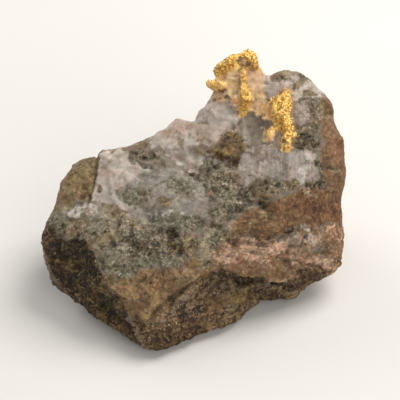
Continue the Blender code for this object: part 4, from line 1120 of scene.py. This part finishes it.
def minerals_on(sheet, place, fields, edges):
    """All minerals one over the other: (colour, roughness)."""
    tones = make_tone_group()
    streaks = {mineral: sheet.streaks(place, *run) for mineral, run in STREAKS.items()}
    wander = sheet.noise(place, *WANDERING)
    colour, roughness = None, None
    for mineral, (three, shares, (speck, strewn), (ragged, softness), glints, rough) in MINERALS.items():
        inputs = fields | {"Streak": streaks.get(mineral, streaks["other"])}
        inputs |= {name: tone(*one) for name, one in zip(THREE_TONES, three)}
        inputs |= {name + " Share": share for name, share in zip(SWINGS, shares)}
        inputs |= {"Speck Colour": tone(*speck), "Speck Share": strewn, "Glint Share": glints}
        paint = sheet.group(tones, inputs)["Color"]
        if colour is None:
            colour, roughness = paint, rough
            continue
        inputs = {"Inside": sheet.value("in_" + mineral), "Wander": wander}
        mask = sheet.group(edges, inputs | {"Ragged": ragged, "Softness": softness})["Mask"]
        colour = sheet.blend(mask, colour, paint)
        roughness = sheet.between(mask, roughness, rough)
    return colour, roughness


def weathered_and_hollow_shaded(sheet, place, colour, settings):
    """The colour with its tints, painted shade in its hollows and the stain round the gold."""
    for noise, levels, tints, strength in TINTS:
        turned = sheet.ramp(sheet.noise(place, *noise), *levels)
        colour = sheet.blend(strength, colour, sheet.blend(turned, *tints), "MULTIPLY")
    # Painted shade: the skin is darkened in its hollows.
    raised = sheet.ramp(sheet.value("hollow"), -0.35, 0.25)
    colour = sheet.blend(sheet.between(raised, HOLLOW_SHADE_SHARE, 0.0), colour, HOLLOW_SHADE_TONE, "MULTIPLY")
    stained = sheet.ramp(sheet.value("from_gold"), settings.stain_reach / MM, STAIN_FULL)
    return sheet.blend(sheet.calc("MULTIPLY", stained, STAIN_SHARE), colour, STAIN_TONE)


def thin_gold_mask(sheet, edges, torn):
    """Where thin gold lies on the stone: in its patches, and in flakes on the amber quartz."""
    inputs = {"Inside": sheet.value("in_leaf"), "Wander": torn, "Ragged": 0.8, "Softness": 0.12}
    leaf = sheet.group(edges, inputs)["Mask"]
    amber = sheet.ramp(sheet.value("in_amber"), -1.0, 0.6)
    flakes = sheet.ramp(sheet.calc("ADD", torn, sheet.calc("MULTIPLY", amber, 0.09)), 0.68, 0.72)
    return sheet.calc("MAXIMUM", leaf, sheet.calc("MULTIPLY", flakes, amber))


def make_stone_material(settings):
    material, sheet, shader, place = new_material("Quartz and wall rock")
    place = warped(sheet, place)
    grains, edges = make_grain_group(), make_edge_group()
    size = settings.grain_size / MM
    grain = sheet.group(grains, {"Vector": place, "Size": size})
    small = sheet.group(grains, {"Vector": place, "Size": SMALL_GRAIN * size})
    fields = {name: sheet.noise(place, *noise) for name, noise in MOTTLING.items()}
    fields |= {"Grain": grain["Number"], "Glint": small["Number"]}
    specks = [sheet.calc("MULTIPLY", sheet.noise(place, *noise), share) for noise, share in SPECKLING]
    fields["Speck"] = sheet.calc("ADD", *specks)
    colour, roughness = minerals_on(sheet, place, fields, edges)
    colour = weathered_and_hollow_shaded(sheet, place, colour, settings)

    gold = leafy_gold(sheet, place, THIN_GOLD)
    leaf = thin_gold_mask(sheet, edges, gold["Torn"])
    sheet.lead(sheet.blend(leaf, colour, gold["Color"]), shader["Base Color"])
    sheet.lead(sheet.between(leaf, roughness, 0.42), shader["Roughness"])
    sheet.lead(sheet.calc("MULTIPLY", leaf, 0.85), shader["Metallic"])
    sheet.lead(0.35, shader["Specular IOR Level"])

    grainy = sheet.calc("MAXIMUM", sheet.calc("ADD", sheet.value("grainy"), 0.1), leaf)
    height = sheet.calc("ADD", sheet.calc("MULTIPLY", fields["Fine"], 0.9), grain["Facet"])
    height = sheet.calc("ADD", height, sheet.calc("MULTIPLY", small["Facet"], 0.8))
    height = sheet.calc("ADD", height, sheet.calc("MULTIPLY", gold["Height"], leaf))
    height = sheet.calc("MULTIPLY", height, grainy)
    bump = sheet.put("ShaderNodeBump", {"Height": height, "Distance": 0.22 * MM, "Strength": 0.7})
    sheet.lead(bump, shader["Normal"])
    return material


def make_gold_material(settings):
    material, sheet, shader, place = new_material("Native gold")
    deep = tuple(settings.deep_colour)
    gold = leafy_gold(sheet, place, (tuple(settings.bright_colour), tuple(settings.colour), deep))
    # Painted shade: the gold turns to its deep colour in its hollows.
    colour = sheet.blend(sheet.ramp(sheet.value("hollow"), -0.14, 0.05), deep, gold["Color"])
    edge = sheet.calc("SUBTRACT", 0.68, sheet.calc("MULTIPLY", sheet.value("dust"), 0.3))
    dusty = sheet.ramp(sheet.noise(place, 0.6, 3.0, 0.65), edge, sheet.calc("ADD", edge, 0.08))
    colour = sheet.blend(sheet.calc("MULTIPLY", dusty, DUST_SHARE), colour, DUST_TONE)
    # Dark grains, and painted shade between the parts of the crest, are dark and not metallic.
    clean = sheet.ramp(sheet.value("inclusion"), 0.1, -0.1)
    sheet.lead(sheet.blend(clean, INCLUSION_AND_SHADE_TONE, colour), shader["Base Color"])
    sheet.lead(sheet.calc("MULTIPLY", sheet.between(dusty, 1.0, 0.15), clean), shader["Metallic"])
    sheet.lead(sheet.between(sheet.noise(place, 0.35, 3.0, 0.6), 0.40, 0.68), shader["Roughness"])
    bump = {"Height": gold["Height"], "Distance": 0.16 * MM, "Strength": 0.7}
    sheet.lead(sheet.put("ShaderNodeBump", bump), shader["Normal"])
    return material


def make_paper_material():
    material, sheet, shader, place = new_material("Pale paper")
    sheet.lead(sheet.blend(sheet.noise(place, PAPER_MOTTLE), *PAPER_TONES), shader["Base Color"])
    sheet.lead(0.9, shader["Roughness"])
    return material


# ---------------------------------------------------------------- settings


class StoneSettings(bpy.types.PropertyGroup):
    voxel: bpy.props.FloatProperty(
        name="Skin Detail", description="Size of the smallest faces of the skin",
        default=0.37 * MM, unit="LENGTH",
    )
    chip_height: bpy.props.FloatProperty(
        name="Chips", description="How strongly the skin is broken into chips",
        default=1.0, subtype="FACTOR",
    )
    grain_height: bpy.props.FloatProperty(
        name="Grain Height", description="How far the grains of the skin stand out",
        default=1.0, subtype="FACTOR",
    )
    grain_size: bpy.props.FloatProperty(
        name="Grain Size", description="Size of the crystal grains", default=0.5 * MM, unit="LENGTH"
    )
    stain_reach: bpy.props.FloatProperty(
        name="Stain", description="How far the gold stains the quartz", default=1.4 * MM, unit="LENGTH"
    )


class GoldSettings(bpy.types.PropertyGroup):
    voxel: bpy.props.FloatProperty(
        name="Gold Detail", description="Size of the smallest faces of the gold",
        default=0.11 * MM, unit="LENGTH",
    )
    swell: bpy.props.FloatProperty(
        name="Swell", description="How far the gold fills its seat", default=0.12 * MM, unit="LENGTH"
    )
    leaf_size: bpy.props.FloatProperty(
        name="Leaf Size", description="Size of the leafy grains", default=0.58 * MM, unit="LENGTH"
    )
    colour: bpy.props.FloatVectorProperty(
        name="Colour", description="Colour of the gold", default=GOLD_MIDDLE, size=4, subtype="COLOR"
    )
    bright_colour: bpy.props.FloatVectorProperty(
        name="Bright Colour", description="Colour of its cleanest leaves", default=GOLD_BRIGHT,
        size=4, subtype="COLOR",
    )
    # The deep colour is used for the torn gold, and as painted shade in the gold's hollows.
    deep_colour: bpy.props.FloatVectorProperty(
        name="Deep Colour", description="Colour in its hollows", default=GOLD_DEEP,
        size=4, subtype="COLOR",
    )


class StageSettings(bpy.types.PropertyGroup):
    floor_size: bpy.props.FloatProperty(
        name="Floor", description="Length of the floor's sides", default=3.0, unit="LENGTH"
    )
    lens: bpy.props.FloatProperty(name="Lens", description="Focal length of the camera in mm", default=120.0)
    key_power: bpy.props.FloatProperty(
        name="Key Light", description="Power of the large light above", default=2.1, unit="POWER"
    )
    fill_power: bpy.props.FloatProperty(
        name="Fill Light", description="Power of the light in front", default=1.1, unit="POWER"
    )
    rim_power: bpy.props.FloatProperty(
        name="Rim Light", description="Power of the light behind", default=0.9, unit="POWER"
    )


# ---------------------------------------------------------------- operators


class SPECIMEN_OT_stone(bpy.types.Operator):
    """Makes the skin of the quartz and the wall rock"""

    bl_idname = "specimen.make_stone"
    bl_label = "Make Stone"

    def execute(self, context):
        settings = context.scene.stone_settings
        skin = self.filled_stone(settings)
        places, edges = places_of(skin), edges_of(skin)
        normals = unit(evened(normals_of(skin), edges, NORMAL_PASSES))
        inside = inside_minerals(places, (normals * unit(EYE - places)).sum(axis=1))
        inside["leaf"] = np.minimum(inside["leaf"], -inside_inclusions_and_shade(places))
        chips, grains = breakage_of(inside, len(places))
        from_gold = distance_from_gold(places)
        for mineral, distances in inside.items():
            keep_value(skin, "in_" + mineral, distances)
        keep_value(skin, "grainy", grains)
        keep_value(skin, "from_gold", from_gold)
        put_places(skin, self.chipped_off(places, normals, chips * settings.chip_height, from_gold))
        self.roughen(skin, grains * settings.grain_height)
        keep_hollows(skin, edges, SKIN_HOLLOWS)
        dress(skin, make_stone_material(settings))
        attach(skin, "root")
        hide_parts("stone")
        return {"FINISHED"}

    def filled_stone(self, settings):
        """The stone with the seats of the gold filled, as one even skin."""
        skin = copy_of("stone", "stone_skin")
        fillings = [copy_of(node, node + "_filling") for node in GOLD]
        for filling in fillings:
            modify(filling, "DISPLACE", strength=FILLING * MM, mid_level=0.0)
        alone(skin)
        for filling in fillings:
            filling.select_set(True)
        bpy.ops.object.join()
        remake(skin, settings.voxel, SKIN_EVENINGS)
        return skin

    def chipped_off(self, places, normals, chips, from_gold):
        """The places of a skin that is broken into chips, cracked, and sunk under the gold."""
        height = broken(places, CHIPS, CHIP_SALT, CHIP_SHARPNESS) * chips
        spots = on_sheet(places)
        for line, half_width, depth in CRACKS:
            height -= depth * eased(inside_stroke(spots, line, half_width), -half_width, half_width)
        height -= SINK * eased(-from_gold, -SINK_FAR, -SINK_NEAR)
        height *= eased(places[:, 2], EVEN_FOOT, CHIPPED_FROM)
        moved = places + normals * height[:, None]
        moved[:, 2] = np.maximum(moved[:, 2], 0.0)
        return moved

    def roughen(self, skin, grains):
        """Roughens the skin with grains, by how grainy its minerals are."""
        places = places_of(skin)
        height = broken(places, GRAINS, GRAIN_SALT, GRAIN_SHARPNESS)
        height *= grains * eased(places[:, 2], EVEN_FOOT, GRAINY_FROM)
        put_places(skin, places + normals_of(skin) * height[:, None])


class SPECIMEN_OT_gold(bpy.types.Operator):
    """Makes the masses of gold, each a crust of leafy grains"""

    bl_idname = "specimen.make_gold"
    bl_label = "Make Gold"

    def execute(self, context):
        settings = context.scene.gold_settings
        material = make_gold_material(settings)
        for turn, (node, (swell, dust)) in enumerate(GOLD.items()):
            mass = self.leafy_mass(node, turn, swell, dust, settings)
            dress(mass, material)
            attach(mass, "root")
            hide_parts(node)
        return {"FINISHED"}

    def leafy_mass(self, node, turn, swell, dust, settings):
        """A mass of gold as a crust of leafy grains, which keeps what its material reads."""
        mass = copy_of(node, node + "_leaves")
        remake(mass, settings.voxel, GOLD_EVENINGS)
        places, normals, edges = places_of(mass), normals_of(mass), edges_of(mass)
        size = settings.leaf_size / MM
        height = np.full(len(places), settings.swell / MM * swell)
        for width, share, salt, sharpness in LEAF_LAYERS:
            height += share * size * chipped(places, width * size, salt + turn, sharpness)
        put_places(mass, places + normals * height[:, None])
        keep_hollows(mass, edges, GOLD_HOLLOWS)
        keep_value(mass, "dust", np.full(len(places), dust))
        keep_value(mass, "inclusion", inside_inclusions_and_shade(places_of(mass)))
        return mass


class SPECIMEN_OT_stage(bpy.types.Operator):
    """Makes the floor, the lights and the camera"""

    bl_idname = "specimen.make_stage"
    bl_label = "Make Stage"

    def execute(self, context):
        settings = context.scene.stage_settings
        middle = Vector(SHEET_MIDDLE) * MM
        self.make_floor(settings)
        self.add_camera(context, middle, settings)
        for name, (place, size) in LIGHTS.items():
            self.add_light(name, middle, place, size, getattr(settings, name.lower() + "_power"))
        world = bpy.data.worlds.new("Studio")
        context.scene.world = world
        world.use_nodes = True
        world.node_tree.nodes["Background"].inputs["Color"].default_value = STUDIO_GREY
        context.scene.view_settings.view_transform = "Standard"
        return {"FINISHED"}

    def make_floor(self, settings):
        bpy.ops.object.select_all(action="DESELECT")
        bpy.ops.mesh.primitive_plane_add(size=settings.floor_size)
        floor = bpy.context.active_object
        floor.name = "floor"
        floor.data.materials.append(make_paper_material())

    def add_camera(self, context, middle, settings):
        camera = bpy.data.objects.new("Camera", bpy.data.cameras.new("Camera"))
        context.scene.collection.objects.link(camera)
        camera.data.lens = settings.lens
        camera.data.sensor_width = SENSOR
        camera.data.clip_start = NEAREST
        camera.location = Vector(EYE) * MM
        camera.rotation_euler = (middle - camera.location).to_track_quat("-Z", "Y").to_euler()
        context.scene.camera = camera

    def add_light(self, name, middle, place, size, power):
        light = bpy.data.objects.new(name, bpy.data.lights.new(name, "AREA"))
        bpy.context.scene.collection.objects.link(light)
        light.data.size = size
        light.data.energy = power
        light.data.color = LIGHT_COLOUR
        light.location = place
        light.rotation_euler = (middle - light.location).to_track_quat("-Z", "Y").to_euler()


class SPECIMEN_PT_panel(bpy.types.Panel):
    """Makes a specimen of gold in quartz"""

    bl_idname = "SPECIMEN_PT_panel"
    bl_label = "Gold in Quartz"
    bl_space_type = "VIEW_3D"
    bl_region_type = "UI"
    bl_category = "Specimen"

    def draw(self, context):
        for title, settings, operator in SECTIONS:
            box = self.layout.box()
            box.label(text=title)
            group = getattr(context.scene, settings)
            for name in group.__annotations__:
                box.prop(group, name)
            box.operator(operator)


SECTIONS = [
    ("Stone", "stone_settings", SPECIMEN_OT_stone.bl_idname),
    ("Gold", "gold_settings", SPECIMEN_OT_gold.bl_idname),
    ("Stage", "stage_settings", SPECIMEN_OT_stage.bl_idname),
]
CLASSES = [
    StoneSettings, GoldSettings, StageSettings,
    SPECIMEN_OT_stone, SPECIMEN_OT_gold, SPECIMEN_OT_stage, SPECIMEN_PT_panel,
]


def register():
    for kind in CLASSES:
        bpy.utils.register_class(kind)
    bpy.types.Scene.stone_settings = bpy.props.PointerProperty(type=StoneSettings)
    bpy.types.Scene.gold_settings = bpy.props.PointerProperty(type=GoldSettings)
    bpy.types.Scene.stage_settings = bpy.props.PointerProperty(type=StageSettings)


def unregister():
    del bpy.types.Scene.stage_settings
    del bpy.types.Scene.gold_settings
    del bpy.types.Scene.stone_settings
    for kind in reversed(CLASSES):
        bpy.utils.unregister_class(kind)


def main():
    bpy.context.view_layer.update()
    register()
    bpy.ops.specimen.make_stage()
    bpy.ops.specimen.make_stone()
    bpy.ops.specimen.make_gold()


if __name__ == "__main__":
    main()
